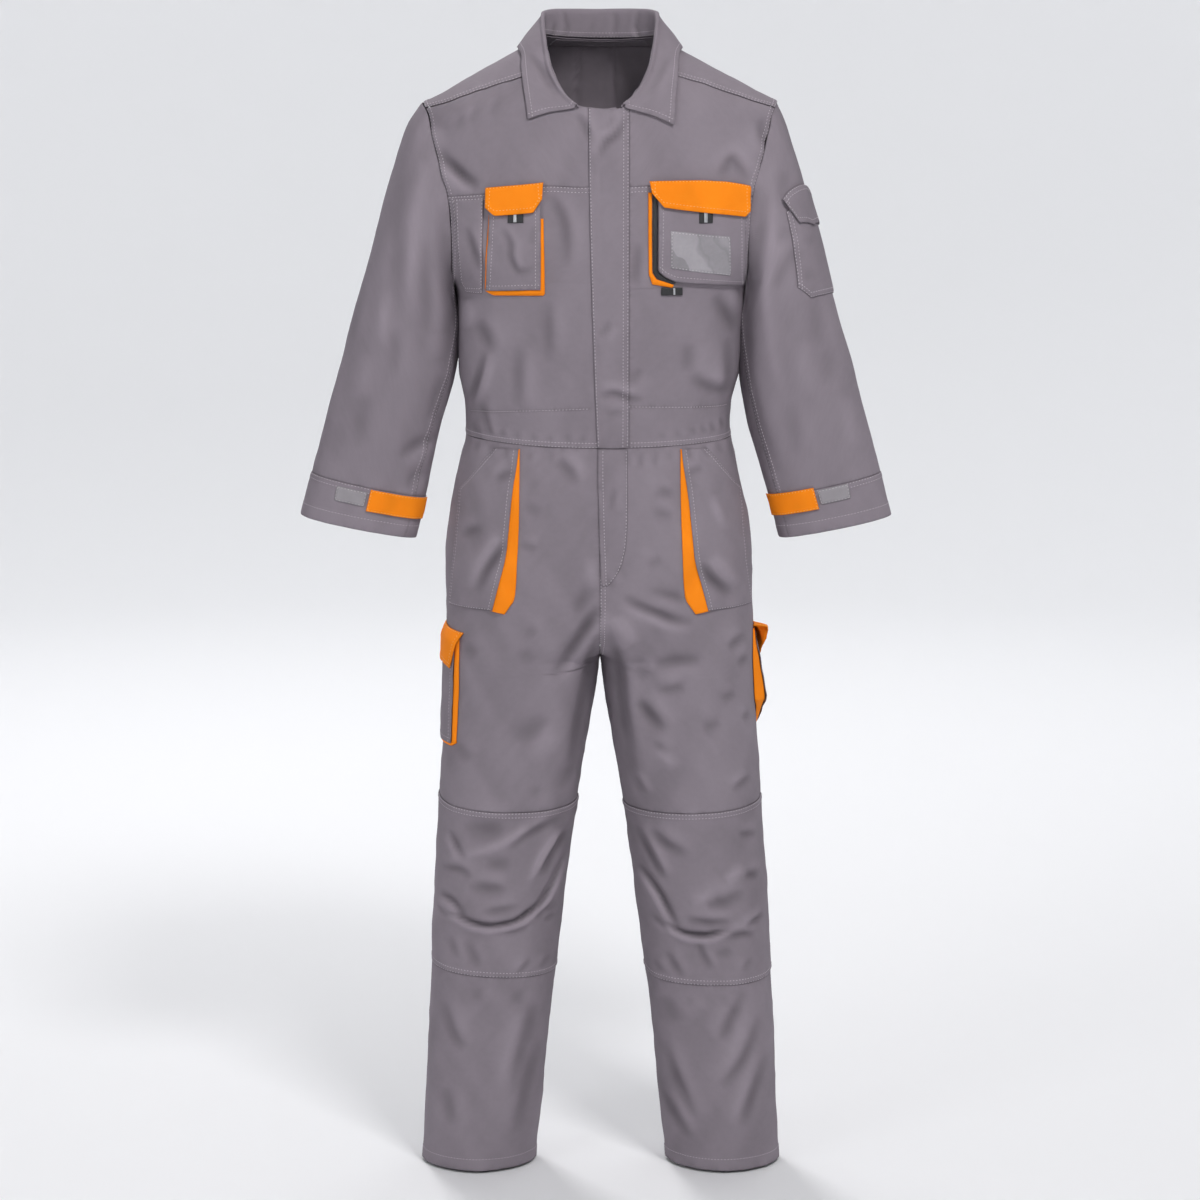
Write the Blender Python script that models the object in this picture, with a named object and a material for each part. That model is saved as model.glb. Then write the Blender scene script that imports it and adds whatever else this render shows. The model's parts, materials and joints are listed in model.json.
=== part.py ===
"""A two-colour boiler suit, filled out as it is when worn, with nobody in it.

Every piece of cloth that is cut and sewn on is a wall of its own, 0.3 mm from the pieces it is
sewn to. The origin is at the top of the shoulders, where the suit hangs from its wearer:
+Z up, the front faces -Y, and the wearer's left is +X. Tables are in millimetres.
"""

import bmesh
import bpy
import numpy as np

for thing in list(bpy.data.objects):
    bpy.data.objects.remove(thing, do_unlink=True)
suit = bpy.data.collections.new("boiler_suit")
bpy.context.scene.collection.children.link(suit)

MM = 0.001
CLOTH = 2.0          # thickness of the main panels, with their turnings
THIN = 1.4           # thickness of pocket cloth and small tabs
CUFF_CLOTH = 2.8     # thickness of the cuff bands, two layers
CUFF_PROUD = 0.5     # how far the cuff stands out past the sleeve
TAPE = 1.2           # thickness of the tapes and tabs on the pockets
SEAM = 0.3           # gap between two pieces at a seam
LIE = 1.2            # how far a piece stands clear of the panel that it lies on

WAIST_Z = -560
CROTCH_Z = -862
HEM_Z = -1611
SHOULDER_Z = -90     # shoulder point, top of the armhole
UNDERARM_Z = -344
PLACKET_EDGE = -16   # free edge of the front placket, on the wearer's right of the middle
PLACKET_SEAM = 40    # where the placket joins the wearer's left front

# Rings of the body: height, half-width on the wearer's right and left, reach to the front and to
# the back, and how square the ring is (2 is an ellipse).
BODY = [
    # z, right, left, front, back, square
    (0, 76, 76, 26, 68, 2.0),
    (-12, 100, 100, 40, 82, 2.05),
    (-25, 124, 124, 54, 92, 2.1),
    (-50, 171, 171, 77, 106, 2.2),
    (-75, 217, 217, 95, 116, 2.3),
    (-90, 246, 247, 103, 121, 2.35),
    (-130, 253, 255, 114, 127, 2.4),
    (-180, 255, 256, 124, 132, 2.45),
    (-230, 249, 250, 130, 134, 2.5),
    (-290, 233, 234, 134, 133, 2.5),
    (-320, 219, 220, 134, 132, 2.5),
    (-344, 203, 204, 134, 131, 2.5),
    (-370, 200, 200, 133, 128, 2.5),
    (-400, 199.5, 197.5, 132, 126, 2.45),
    (-440, 199, 196, 129, 122, 2.4),
    (-463, 198, 194.5, 127, 120, 2.4),
    (-505, 190, 184, 125, 118, 2.35),
    (-534, 188, 182, 123, 117, 2.3),
    (-560, 189, 184, 122, 118, 2.3),
    (-590, 197, 191, 126, 124, 2.35),
    (-619, 203, 197, 130, 131, 2.4),
    (-676, 212, 208, 133, 140, 2.4),
    (-733, 217, 213, 132, 142, 2.4),
    (-790, 217, 214, 128, 138, 2.4),
    (-830, 217, 215, 122, 132, 2.4),
    (-862, 218, 216, 116, 126, 2.4),
]
# How far the body has parted into two legs: 0 is one round body, 1 is two legs.
PARTING = [
    # z, share
    (-560, 0), (-660, 0), (-720, 0.04), (-770, 0.14), (-805, 0.32),
    (-832, 0.58), (-850, 0.82), (-858, 0.94), (-862, 1),
]
# Rings of the legs below the crotch.
LEGS = [
    # z, right outer, right inner, left outer, left inner, front, back, square
    (-862, 218, 0, 216, 0, 116, 126, 2.4),
    (-906, 220, 6, 218.5, 7, 110, 118, 2.4),
    (-964, 222.5, 16, 221, 15, 104, 110, 2.4),
    (-1023, 226.5, 26, 226.5, 25, 99, 104, 2.35),
    (-1081, 231, 33, 229, 34, 95, 98, 2.35),
    (-1140, 234, 42, 233, 42, 92, 92, 2.3),
    (-1199, 237, 49, 239, 49, 90, 88, 2.3),
    (-1288, 241, 59, 243, 60, 86, 84, 2.3),
    (-1348, 243, 66, 246, 68, 83, 82, 2.3),
    (-1467, 250, 79, 252, 80, 78, 80, 2.3),
    (-1558, 255.5, 89, 257, 89, 75, 78, 2.3),
    (-1611, 259, 95, 261, 95, 73, 77, 2.3),
]
# Rings of the sleeves, each in the plane through its outer and its inner edge.
SLEEVES = [
    # outer z, inner z, right outer, right inner, left outer, left inner, front, back, square
    (-90, -344, 246, 204, 247, 205, 84, 82, 2.2),
    (-115, -349, 263, 205.5, 258, 205.5, 87, 84, 2.2),
    (-143, -355, 274, 206, 267, 205.5, 88, 85, 2.2),
    (-170, -361, 282, 206, 276, 205, 88, 85, 2.2),
    (-226, -372, 300, 205.5, 292, 204, 87, 84, 2.2),
    (-281, -387, 316, 204.5, 308, 203, 85, 82, 2.2),
    (-337, -405, 332, 204, 322, 201.5, 81, 79, 2.2),
    (-393, -435, 348, 203.5, 336, 200, 76, 75, 2.2),
    (-449, -480, 362, 208, 353, 201, 69, 69, 2.2),
    (-505, -538, 379, 224.5, 367, 209.5, 61, 62, 2.2),
    (-562, -596, 395, 238, 383, 226, 54, 56, 2.2),
    (-619, -653, 410, 250, 398, 241, 49, 51, 2.25),
    (-667, -699, 421, 261.5, 410, 253, 46, 48, 2.3),
]
CUFF_SEAM = -606     # on the key of SLEEVES, the height at the outer edge
CUFF_HEM = -667
ARM_FADE = -230      # below this the sleeve no longer feels the shape of its armhole

ARMHOLE = [
    # z, distance of the armhole seam from the middle line
    (-90, 246.5), (-97, 241), (-130, 231), (-165, 222.5), (-195, 213), (-223, 207.5),
    (-260, 204.5), (-305, 203), (-325, 203), (-338, 203.3), (-344, 203.5),
]
NECK_ACROSS = [
    # z, distance of the neckline from the middle line
    (0, 76), (-12, 74.5), (-25, 72), (-50, 64), (-75, 51), (-88, 39), (-95, 24), (-98, 0),
]

# The shoulder seam, which lies forward of the top of the shoulder, from the neck to the armhole.
SHOULDER_SEAM = [
    # x, z
    (67, -41), (102, -52.5), (137, -63.5), (178, -77), (213, -89), (241, -97),
]
CHEST_SEAM = [
    # x, z
    (0, -202), (30, -202.5), (70, -201), (112, -206), (154, -212), (208, -217),
]
# The columns of a front above the chest seam: where each meets the neckline or the shoulder seam,
# and where it meets the chest seam.
FRONT_COLUMNS = [
    (40, 40), (51, 56), (60, 70), (67, 84), (102, 106), (137, 132), (178, 160), (213, 186), (241, 208),
]
UNDER_PLACKET = [(-22, -22), (0, 0), (26, 24)]
# Knee patches: heights of the upper and the lower seam at the outseam, the middle and the inseam.
KNEES = {
    # side: upper outseam, middle, inseam, lower outseam, middle, inseam
    -1: (-1064, -1079, -1070, -1310, -1321, -1324),
    1: (-1069, -1080, -1077, -1328, -1333, -1323),
}

# Large folds: a soft ridge (positive) or trough (negative) along a line from one point to the
# other as seen from the front (face -1) or from behind (face 1), fading out over its width.
FOLDS = [
    # face, x0, z0, x1, z1, bow, width, height
    (-1, -226, -1222, -120, -1262, -10, 17, -5.0),
    (-1, -226, -1205, -130, -1243, -8, 20, 4.5),
    (-1, -140, -1262, -52, -1180, -16, 15, -4.5),
    (-1, -150, -1243, -62, -1160, -14, 19, 4.0),
    (-1, -170, -1290, -90, -1290, -6, 22, 3.0),
    (-1, 222, -1262, 118, -1262, -6, 16, -4.5),
    (-1, 226, -1240, 130, -1246, -5, 20, 4.5),
    (-1, 135, -1266, 62, -1165, -14, 15, -5.0),
    (-1, 150, -1244, 76, -1150, -12, 19, 4.0),
    (-1, 110, -1230, 92, -1205, 0, 14, -3.0),
    (-1, -215, -160, -150, -205, 4, 24, -3.0),
    (-1, 150, -345, 196, -500, 6, 22, 4.0),
    (-1, 168, -350, 176, -470, 4, 18, -3.5),
    (-1, -150, -370, -176, -520, 4, 24, 3.5),
    (-1, -20, -850, -95, -1000, 6, 26, 4.0),
    (-1, 20, -850, 95, -1000, -6, 26, 4.0),
    (-1, -8, -800, -60, -950, 4, 20, -3.0),
    (-1, 8, -800, 62, -950, -4, 20, -3.0),
    (1, -200, -1215, -80, -1235, 10, 18, -5.0),
    (1, 205, -1235, 85, -1215, 10, 18, -5.0),
    (1, -205, -1180, -90, -1195, 8, 20, -4.0),
    (1, 210, -1190, 95, -1185, 8, 20, -4.0),
    (1, -30, -880, -150, -960, 8, 26, -4.0),
    (1, 30, -880, 150, -960, -8, 26, -4.0),
    (1, -110, -430, -90, -545, 0, 26, 4.0),
    (1, 105, -420, 92, -545, 0, 26, 4.0),
    (1, -36, -20, -44, -330, 0, 9, 2.2),
    (1, 36, -20, 44, -330, 0, 9, 2.2),
]

LOOKS = {
    # name: colour, roughness
    "grey_twill": ((0.262, 0.238, 0.258), 0.82),
    "orange_twill": ((0.93, 0.27, 0.02), 0.78),
    "loop_tape": ((0.30, 0.28, 0.30), 0.9),
    "black_tape": ((0.02, 0.02, 0.022), 0.6),
    "clear_film": ((0.36, 0.36, 0.38), 0.22),
}


def column(rows, index, at):
    """One column of a table, read smoothly at any value of its first column."""
    table = np.array(rows, float)[::-1]
    keys, values = table[:, 0], table[:, index]
    at = np.asarray(at, float)
    slopes = np.gradient(values, keys)
    k = np.clip(np.searchsorted(keys, at) - 1, 0, len(keys) - 2)
    span = keys[k + 1] - keys[k]
    t = np.clip((at - keys[k]) / span, 0, 1)
    low, high, leave, arrive = values[k], values[k + 1], slopes[k] * span, slopes[k + 1] * span
    bend = 3 * (high - low) - 2 * leave - arrive + t * (2 * (low - high) + leave + arrive)
    return low + t * (leave + t * bend)


def ring(turn, right, left, front, back, square):
    """A point of a rounded ring: 0 is the front, 90 the +X side, 180 the back."""
    s, c = np.sin(np.radians(turn)), np.cos(np.radians(turn))
    wide, deep = np.where(s < 0, right, left), np.where(c > 0, front, back)
    reach = ((np.abs(s) / wide) ** square + (np.abs(c) / deep) ** square) ** (-1 / square)
    return reach * s, -reach * c


def turn_across(across, wide, deep, square, face):
    """The turn on a ring of the point that lies a given way across it, seen from one face."""
    share = np.clip(np.abs(across / wide), 0, 1)
    turn = np.degrees(np.arctan2(across, -face * deep * (1 - share**square) ** (1 / square)))
    return turn % 360 if face > 0 else turn


# ---- the surfaces that all the cloth lies on: side is -1 for the wearer's right, 1 for the left


def body(side, turn, z):
    """The jacket and the hips: 0 is the front, 90 the side, 180 the back, and 270 the other side."""
    right, left, front, back, square = (column(BODY, i, z) for i in range(1, 6))
    near, far = (right, left) if side < 0 else (left, right)
    x, y = ring(turn, far, near, front, back, square)
    return np.stack([side * x, y, z + 0 * x], -1)


def body_turn(side, across, z, face=-1):
    wide = np.where(side * across < 0, column(BODY, 1, z), column(BODY, 2, z))
    return turn_across(across, wide, column(BODY, 3 if face < 0 else 4, z), column(BODY, 5, z), face)


def leg_sizes(side, z):
    """Middle, half-width, front, back and squareness of a leg, or of its half of the hips."""
    up, hip, low = z > CROTCH_Z, np.maximum(z, CROTCH_Z), np.minimum(z, CROTCH_Z)
    wide = column(BODY, 1 if side < 0 else 2, hip)
    parting = column(PARTING, 1, hip)
    outer = column(LEGS, 1 if side < 0 else 3, low)
    inner = column(LEGS, 2 if side < 0 else 4, low)
    middle = np.where(up, wide * parting / (1 + parting), (outer + inner) / 2)
    half = np.where(up, wide / (1 + parting), (outer - inner) / 2)
    rest = [np.where(up, column(BODY, i, hip), column(LEGS, i + 2, low)) for i in (3, 4, 5)]
    return middle, half, *rest


def leg(side, turn, z):
    """The trousers: 0 is the front of the leg, 90 the outseam, -90 the inseam, 180 the back."""
    middle, half, front, back, square = leg_sizes(side, z)
    x, y = ring(turn, half, half, front, back, square)
    return np.stack([side * (middle + x + SEAM / 2), y, z + 0 * x], -1)


def leg_turn(side, across, z, face=-1):
    middle, half, front, back, square = leg_sizes(side, z)
    return turn_across(across - middle, half, front if face < 0 else back, square, face)


def inner_turn(side, z, face):
    """Where a trouser half ends: on the middle line down to the crotch, then on the inseam."""
    seam = -90.0 if face < 0 else 270.0
    return np.where(z > CROTCH_Z, leg_turn(side, 0 * z, z, face), seam)


def armhole(side, turn):
    """Body turn and height of the armhole seam: 90 is the shoulder point, -90 the underarm."""
    middle, half = (SHOULDER_Z + UNDERARM_Z) / 2, (SHOULDER_Z - UNDERARM_Z) / 2
    z = middle + half * np.sin(np.radians(turn))
    out = column(ARMHOLE, 1, z)
    front = np.cos(np.radians(turn)) > 1e-9
    return np.where(front, body_turn(side, out, z, -1), body_turn(side, out, z, 1)), z


def sleeve_ring(side, turn, down):
    pick = 2 if side < 0 else 4
    outer = np.stack([column(SLEEVES, pick, down), down + 0 * turn], -1)
    inner = np.stack([column(SLEEVES, pick + 1, down), column(SLEEVES, 1, down) + 0 * turn], -1)
    middle, half = (outer + inner) / 2, (outer - inner) / 2
    length = np.linalg.norm(half, axis=-1)
    along, y = ring(turn, length, length, *(column(SLEEVES, i, down) for i in (6, 7, 8)))
    place = middle + half * (along / length)[..., None]
    return np.stack([side * place[..., 0], y, place[..., 1]], -1)


def sleeve(side, turn, down):
    """The sleeve: 90 is its outer edge, 0 its front, -90 its inner edge. Its head fits the armhole."""
    share = np.clip((down - ARM_FADE) / (SHOULDER_Z - ARM_FADE), 0, 1) ** 2
    hole = body(side, *armhole(side, turn)) - sleeve_ring(side, turn, SHOULDER_Z + 0 * down)
    return sleeve_ring(side, turn, down) + hole * share[..., None]


def fold_height(points, normal):
    """How far the folds push the cloth out, or in where it is negative."""
    x, z = points[..., 0], points[..., 2]
    height = 0 * x
    for face, x0, z0, x1, z1, bow, width, tall in FOLDS:
        dx, dz = x1 - x0, z1 - z0
        length = np.hypot(dx, dz)
        along = np.clip(((x - x0) * dx + (z - z0) * dz) / length**2, 0, 1)
        off = ((x - x0) * dz - (z - z0) * dx) / length - 4 * bow * along * (1 - along)
        facing = np.clip(2 * face * normal[..., 1], 0, 1)
        height = height + tall * facing * np.sin(np.pi * along) ** 0.8 * np.exp(-((off / width) ** 2))
    return height


def lie(surface, side, a, b, lift):
    """Points of a surface with its folds, moved out of it by a lift."""
    a, b = np.asarray(a, float), np.asarray(b, float)
    here = surface(side, a, b)
    over = surface(side, a + 0.4, b) - surface(side, a - 0.4, b)
    up = surface(side, a, b + 0.6) - surface(side, a, b - 0.6)
    normal = side * np.cross(over, up)
    normal /= np.linalg.norm(normal, axis=-1, keepdims=True)
    return here + normal * (fold_height(here, normal) + lift)[..., None]


def on_body(x, z, lift):
    """Body cloth at a place as seen from the front, x across and z up."""
    return lie(body, 1, body_turn(1, x, z), z, lift)


def on_leg(side):
    return lambda across, z, lift: lie(leg, side, leg_turn(side, across, z), z, lift)


def around(surface, side):
    return lambda a, b, lift: lie(surface, side, a, b, lift)


# ---- making a piece ----------------------------------------------------------------------------


def look(name):
    if name in bpy.data.materials:
        return bpy.data.materials[name]
    colour, roughness = LOOKS[name]
    material = bpy.data.materials.new(name)
    material.use_nodes = True
    shader = material.node_tree.nodes["Principled BSDF"]
    shader.inputs["Base Color"].default_value = (*colour, 1)
    shader.inputs["Roughness"].default_value = roughness
    shader.inputs["Metallic"].default_value = 0
    return material


def trimmed(points, tube):
    """The same sheet with each edge drawn in by half a seam gap."""
    points = points.copy()
    ends = [(0, 1), (-1, -2)]
    for edge, next_in in ends:
        step = points[next_in] - points[edge]
        points[edge] += step * (SEAM / 2 / np.linalg.norm(step, axis=-1, keepdims=True))
    for edge, next_in in [] if tube else ends:
        step = points[:, next_in] - points[:, edge]
        points[:, edge] += step * (SEAM / 2 / np.linalg.norm(step, axis=-1, keepdims=True))
    return points


def wall(name, material, outer, inner, tube=False):
    """One piece of cloth as a solid, from rows and columns of points on its outer and inner face."""
    outer, inner = trimmed(outer, tube), trimmed(inner, tube)
    rows, columns = outer.shape[:2]
    cloth = bmesh.new()
    bmesh.ops.create_grid(cloth, x_segments=columns - 1, y_segments=rows - 1, size=0.5)
    cloth.verts.ensure_lookup_table()
    place = cloth.verts.layers.int.new("place")
    for i, (vert, point) in enumerate(zip(cloth.verts, outer.reshape(-1, 3))):
        vert[place] = i
        vert.co = point * MM
    if tube:
        bmesh.ops.remove_doubles(cloth, verts=cloth.verts[:], dist=1e-6)
    grown = bmesh.ops.extrude_face_region(cloth, geom=cloth.faces[:], use_keep_orig=True)
    inside = inner.reshape(-1, 3)
    for vert in grown["geom"]:
        if isinstance(vert, bmesh.types.BMVert):
            vert.co = inside[vert[place]] * MM
    bmesh.ops.recalc_face_normals(cloth, faces=cloth.faces[:])
    mesh = bpy.data.meshes.new(name)
    cloth.to_mesh(mesh)
    cloth.free()
    mesh.materials.append(look(material))
    mesh.shade_smooth()
    mesh.set_sharp_from_angle(angle=0.7)
    piece = bpy.data.objects.new(name, mesh)
    suit.objects.link(piece)
    return piece


def piece(name, material, place, spots, low, high, tube=False):
    """A wall between two lifts over a surface; spots are (rows, columns, 2) places on the surface."""
    a, b = spots[..., 0], spots[..., 1]
    return wall(name, material, place(a, b, high + 0 * a), place(a, b, low + 0 * a), tube)


def between(top, bottom, left, right):
    """The spots of a panel inside its four edges, each a list of spots; its corners are shared."""
    top, bottom, left, right = (np.array(edge, float) for edge in (top, bottom, left, right))
    u = np.linspace(0, 1, len(top))[None, :, None]
    v = np.linspace(0, 1, len(left))[:, None, None]
    edges = (1 - v) * top[None] + v * bottom[None] + (1 - u) * left[:, None] + u * right[:, None]
    low = (1 - u) * bottom[0] + u * bottom[-1]
    high = (1 - u) * top[0] + u * top[-1]
    return edges - (1 - v) * high - v * low


def between_rows(table, finer):
    """A table with more rows put evenly between each two."""
    at = np.linspace(0, len(table) - 1, (len(table) - 1) * finer + 1)
    return np.stack([np.interp(at, range(len(table)), value) for value in table.T], -1)


def strip(columns, rows=1, finer=1):
    """The spots of a patch from its columns (top a, top b, bottom a, bottom b), each gap cut finer."""
    table = np.array(columns, float)
    table = between_rows(table, finer)
    v = np.linspace(0, 1, rows + 1)[:, None, None]
    return (1 - v) * table[None, :, :2] + v * table[None, :, 2:]


def spread(start, end, steps):
    return list(np.linspace(start, end, steps + 1))


def follow(pairs, at):
    """Reads a table of pairs with straight lines between its rows."""
    table = np.array(sorted(pairs), float)
    return np.interp(at, table[:, 0], table[:, 1])


# ---- jacket ------------------------------------------------------------------------------------

# Turns round the armhole, from the shoulder point by the front to the underarm and up the back.
YOKE_FRONT_ARM = [69.6, 79.8, 90]
YOKE_BACK_ARM = [90, 105, 119.5, 134, 148.5]
FRONT_ARM = [69.6, 58, 46.4, 34.8, 23.2, 11.6, 0]
LOWER_ARM = [0, -18, -36, -54, -72, -90]
BACK_ARM = [148.5, 165, 180, 198, 216, 234, 252, 270]
SIDE_STEPS = 8        # rows of the body panels down the side seam
BACK_STEPS = 6        # columns of the back on each side
YOKE_NECK = [
    # turn and height of the neckline at each column of the shoulder piece, round to the back
    (None, -41), (None, -31), (None, -17), (90, 0), (105, -0.8), (118, -1.4), (131, -2),
    (144, -2.4), (156, -2.7), (168, -3), (180, -3),
]


def arm_edge(side, turns):
    """Spots of the body along the armhole."""
    return [tuple(float(value) for value in armhole(side, np.float64(turn))) for turn in turns]


def body_spot(side, across, z):
    return float(body_turn(side, np.float64(across), np.float64(z))), z


def make_front(side, name):
    """The wearer's right front runs under the placket, and the left one starts at its seam."""
    columns = (UNDER_PLACKET if side < 0 else []) + FRONT_COLUMNS
    neck = [(x, z) for z, x in NECK_ACROSS]
    seam_x = SHOULDER_SEAM[0][0]
    top_z = [follow(neck, abs(a)) if a < seam_x else follow(SHOULDER_SEAM, a) for a, _ in columns]
    top = [body_spot(side, a, z) for (a, _), z in zip(columns, top_z)]
    chest = [body_spot(side, b, follow(CHEST_SEAM, abs(b))) for _, b in columns]
    inner, rows = columns[0][0], len(FRONT_ARM)
    opening = [body_spot(side, inner, z) for z in np.linspace(top[0][1], chest[0][1], rows)]
    arm = arm_edge(side, FRONT_ARM)
    top[-1], chest[-1] = arm[0], arm[-1]
    place = around(body, side)
    piece(f"front_upper_{name}", "grey_twill", place, between(top, chest, opening, arm), -CLOTH, 0)

    side_z = spread(UNDERARM_Z, WAIST_Z, SIDE_STEPS)
    seam = arm_edge(side, LOWER_ARM) + [(90, z) for z in side_z[1:]]
    opening = [body_spot(side, inner, z) for z in np.linspace(chest[0][1], WAIST_Z, len(seam))]
    first = opening[-1][0]
    waist = [(turn, WAIST_Z) for turn in np.linspace(first, 90, len(columns))]
    piece(f"front_lower_{name}", "grey_twill", place, between(chest, waist, opening, seam), -CLOTH, 0)


def whole(half):
    """Spots on both sides of the middle of the back, from a function that gives those of one side."""
    left, right = half(1), half(-1)[:, -2::-1]
    right[..., 0] = 360 - right[..., 0]
    return np.concatenate([left, right], 1)


def shoulder_half(side):
    neck = [(turn, z) if turn else body_spot(side, follow(NECK_ACROSS, z), z) for turn, z in YOKE_NECK]
    arm = arm_edge(side, YOKE_FRONT_ARM + YOKE_BACK_ARM[1:])
    low = arm[-1]
    back = [(turn, low[1]) for turn in np.linspace(low[0], 180, len(neck) - len(arm) + 1)[1:]]
    seam = [body_spot(side, x, z) for x, z in SHOULDER_SEAM]
    seam[0], seam[-1] = neck[0], arm[0]
    middle = [(180, z) for z in np.linspace(neck[-1][1], low[1], len(SHOULDER_SEAM))]
    return between(neck, arm + back, seam, middle)


def back_half(side):
    arm = arm_edge(side, BACK_ARM)
    side_z = spread(UNDERARM_Z, WAIST_Z, SIDE_STEPS)
    seam = arm + [(90, z) for z in side_z[1:]]
    top = [(turn, arm[0][1]) for turn in np.linspace(arm[0][0], 180, BACK_STEPS + 1)]
    bottom = [(turn, WAIST_Z) for turn in np.linspace(90, 180, BACK_STEPS + 1)]
    middle = [(180, z) for z in np.linspace(arm[0][1], WAIST_Z, len(seam))]
    return between(top, bottom, seam, middle)


def make_back():
    place = around(body, 1)
    piece("shoulder_piece", "grey_twill", place, whole(shoulder_half), -CLOTH, 0)
    piece("back", "grey_twill", place, whole(back_half), -CLOTH, 0)


PLACKET_STEPS = 14


def make_placket():
    """The covered front opening: sewn to the wearer's left front, it lies over the right front."""
    across = np.array([PLACKET_EDGE, 0, 15, 27, PLACKET_SEAM], float)
    drift = np.array([1, 1, 0.7, 0.35, 0])
    spots = np.zeros((PLACKET_STEPS + 1, len(across), 2))
    tops = [follow([(x, z) for z, x in NECK_ACROSS], abs(a)) for a in across]
    tops = np.array(tops) - np.array([0, 0, 2, 4, 4])
    for row, share in enumerate(np.linspace(0, 1, PLACKET_STEPS + 1)):
        z = tops * (1 - share) + WAIST_Z * share
        spots[row, :, 0] = across + 12 * drift * share**1.6
        spots[row, :, 1] = z
    raised = LIE * np.array([1, 1, 1, 1, 0.0])[None, :] + 0 * spots[..., 0]
    low, high = raised + CLOTH * np.array([0, 0, 0, 0, -1.0]), raised + CLOTH * np.array([1, 1, 1, 1, 0.0])
    piece("placket", "grey_twill", on_body, spots, low, high)


# The collar, half of it from the front end to the middle of the back: where it is sewn to the neck
# (across and height in front, turn and height behind), the fold line, and where its edge lies.
COLLAR = [
    # neck across, neck z, fold x, fold y, fold z, edge across, edge z
    (28.5, -95.5, 28.5, -110, -93, 98, -112),
    (38, -89, 40, -103, -84, 100, -96),
    (49, -77, 52, -93, -70, 103, -78),
    (60, -57, 63, -77, -50, 105.5, -60),
    (67, -41, 69, -62, -30, 107, -43),
    (73, -19, 73.5, -38, -2, 107.5, -29),
]
COLLAR_BACK = [
    # neck turn, neck z, fold x, fold y, fold z, edge turn, edge z
    (84, -2, 75.5, -14, 15, 84, -20),
    (96, -0.5, 76.5, 8, 27, 100, -20),
    (110, -1, 74, 30, 33, 115, -22),
    (130, -2, 60, 50, 35.5, 132, -25),
    (152, -2.6, 36, 64, 36, 154, -28),
    (180, -3, 0, 70, 36, 180, -30),
]
COLLAR_ROLL = 3.5     # radius of the fold line
COLLAR_OVER = 3.2     # how far the edge of the collar stands off the shoulder


def collar_path(base, fold, edge):
    """A section of the collar: up the stand, over the fold and down to the edge."""
    away = edge - fold
    away[2] = 0
    away /= np.linalg.norm(away)
    up = np.array([0, 0, 1.0])
    roll = COLLAR_ROLL
    start = fold + away * 2 * roll - up * roll
    middle = (start + edge) / 2 + up * 2 + away * 1.5
    return [
        base, (base + fold) / 2, fold - up * roll, fold + away * roll * 0.3 + up * roll * 0.3,
        fold + away * roll + up * roll * 0.6, fold + away * roll * 1.7 + up * roll * 0.3, start, middle, edge,
    ]


def make_collar():
    half = []
    for row in COLLAR + COLLAR_BACK:
        front = row in COLLAR
        neck_turn = body_spot(1, row[0], row[1])[0] if front else row[0]
        edge_turn = body_spot(1, row[5], row[6])[0] if front else row[5]
        base = lie(body, 1, neck_turn, row[1], 1.6)
        edge = lie(body, 1, edge_turn, row[6], COLLAR_OVER + CLOTH)
        half.append(collar_path(base, np.array(row[2:5], float), edge))
    half = np.array(half)
    points = np.concatenate([half, half[-2::-1] * (-1, 1, 1)])
    over = np.gradient(points, axis=1)
    along = np.gradient(points, axis=0)
    normal = np.cross(over, along)
    normal /= np.linalg.norm(normal, axis=-1, keepdims=True)
    wall("collar", "grey_twill", points, points + normal * CLOTH)


SLEEVE_HEAD_GAP = 2.2  # how far below the armhole's own ring the sleeve starts


def make_sleeve(side, name):
    arm = YOKE_FRONT_ARM[::-1] + FRONT_ARM[1:] + LOWER_ARM[1:]
    arm += [turn - 360 for turn in BACK_ARM[::-1][1:] + YOKE_BACK_ARM[::-1][1:]]
    down = [SHOULDER_Z - SLEEVE_HEAD_GAP, -112, -140, -175, -215, -262, -315, -370, -425, -480, -535, -575, CUFF_SEAM]
    turns, heights = np.meshgrid(arm, down)
    spots = np.stack([turns, heights], -1)
    piece(f"sleeve_{name}", "grey_twill", around(sleeve, side), spots, -CLOTH, 0, tube=True)
    turns, heights = np.meshgrid(arm, [CUFF_SEAM, CUFF_SEAM * 0.3 + CUFF_HEM * 0.7, CUFF_HEM])
    spots = np.stack([turns, heights], -1)
    low, high = CUFF_PROUD - CUFF_CLOTH, CUFF_PROUD
    piece(f"cuff_{name}", "grey_twill", around(sleeve, side), spots, low, high, tube=True)


CUFF_TABS = {
    # side: turn where the orange tab starts, height there, height at its end; where the loop patch ends
    -1: (-8, -611, -640, 42),
    1: (-19, -606, -635, 33),
}
TAB_END = -84         # turn of the tab's sewn end
LOOP_GAP = 4          # turn between the tab and the loop patch


def make_cuff_tab(side, name):
    start, top, bottom, end = CUFF_TABS[side]
    lift = CUFF_PROUD + LIE + SEAM
    turns = np.linspace(TAB_END, start, 6)
    spots = strip([(turn, top + 4, turn, bottom + 2) for turn in turns], 1)
    piece(f"cuff_tab_{name}", "orange_twill", around(sleeve, side), spots, lift, lift + THIN)
    turns = np.linspace(start + LOOP_GAP, end, 4)
    spots = strip([(turn, top - 1, turn, bottom + 7) for turn in turns], 1)
    piece(f"loop_patch_{name}", "loop_tape", around(sleeve, side), spots, lift, lift + 1)


# ---- trousers ----------------------------------------------------------------------------------

TOP_ROWS = [-560, -600, -645, -690, -728, -762, -792, -817, -837, -851, -859, -866, -884, -915, -960, -1012]
LOW_ROWS = [-1375, -1430, -1490, -1550, HEM_Z]
THIGH_STEPS = 8
KNEE_STEPS = 11
KNEE_ROWS = 16
SHIN_STEPS = 8
LEG_BACK_STEPS = 10


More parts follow.
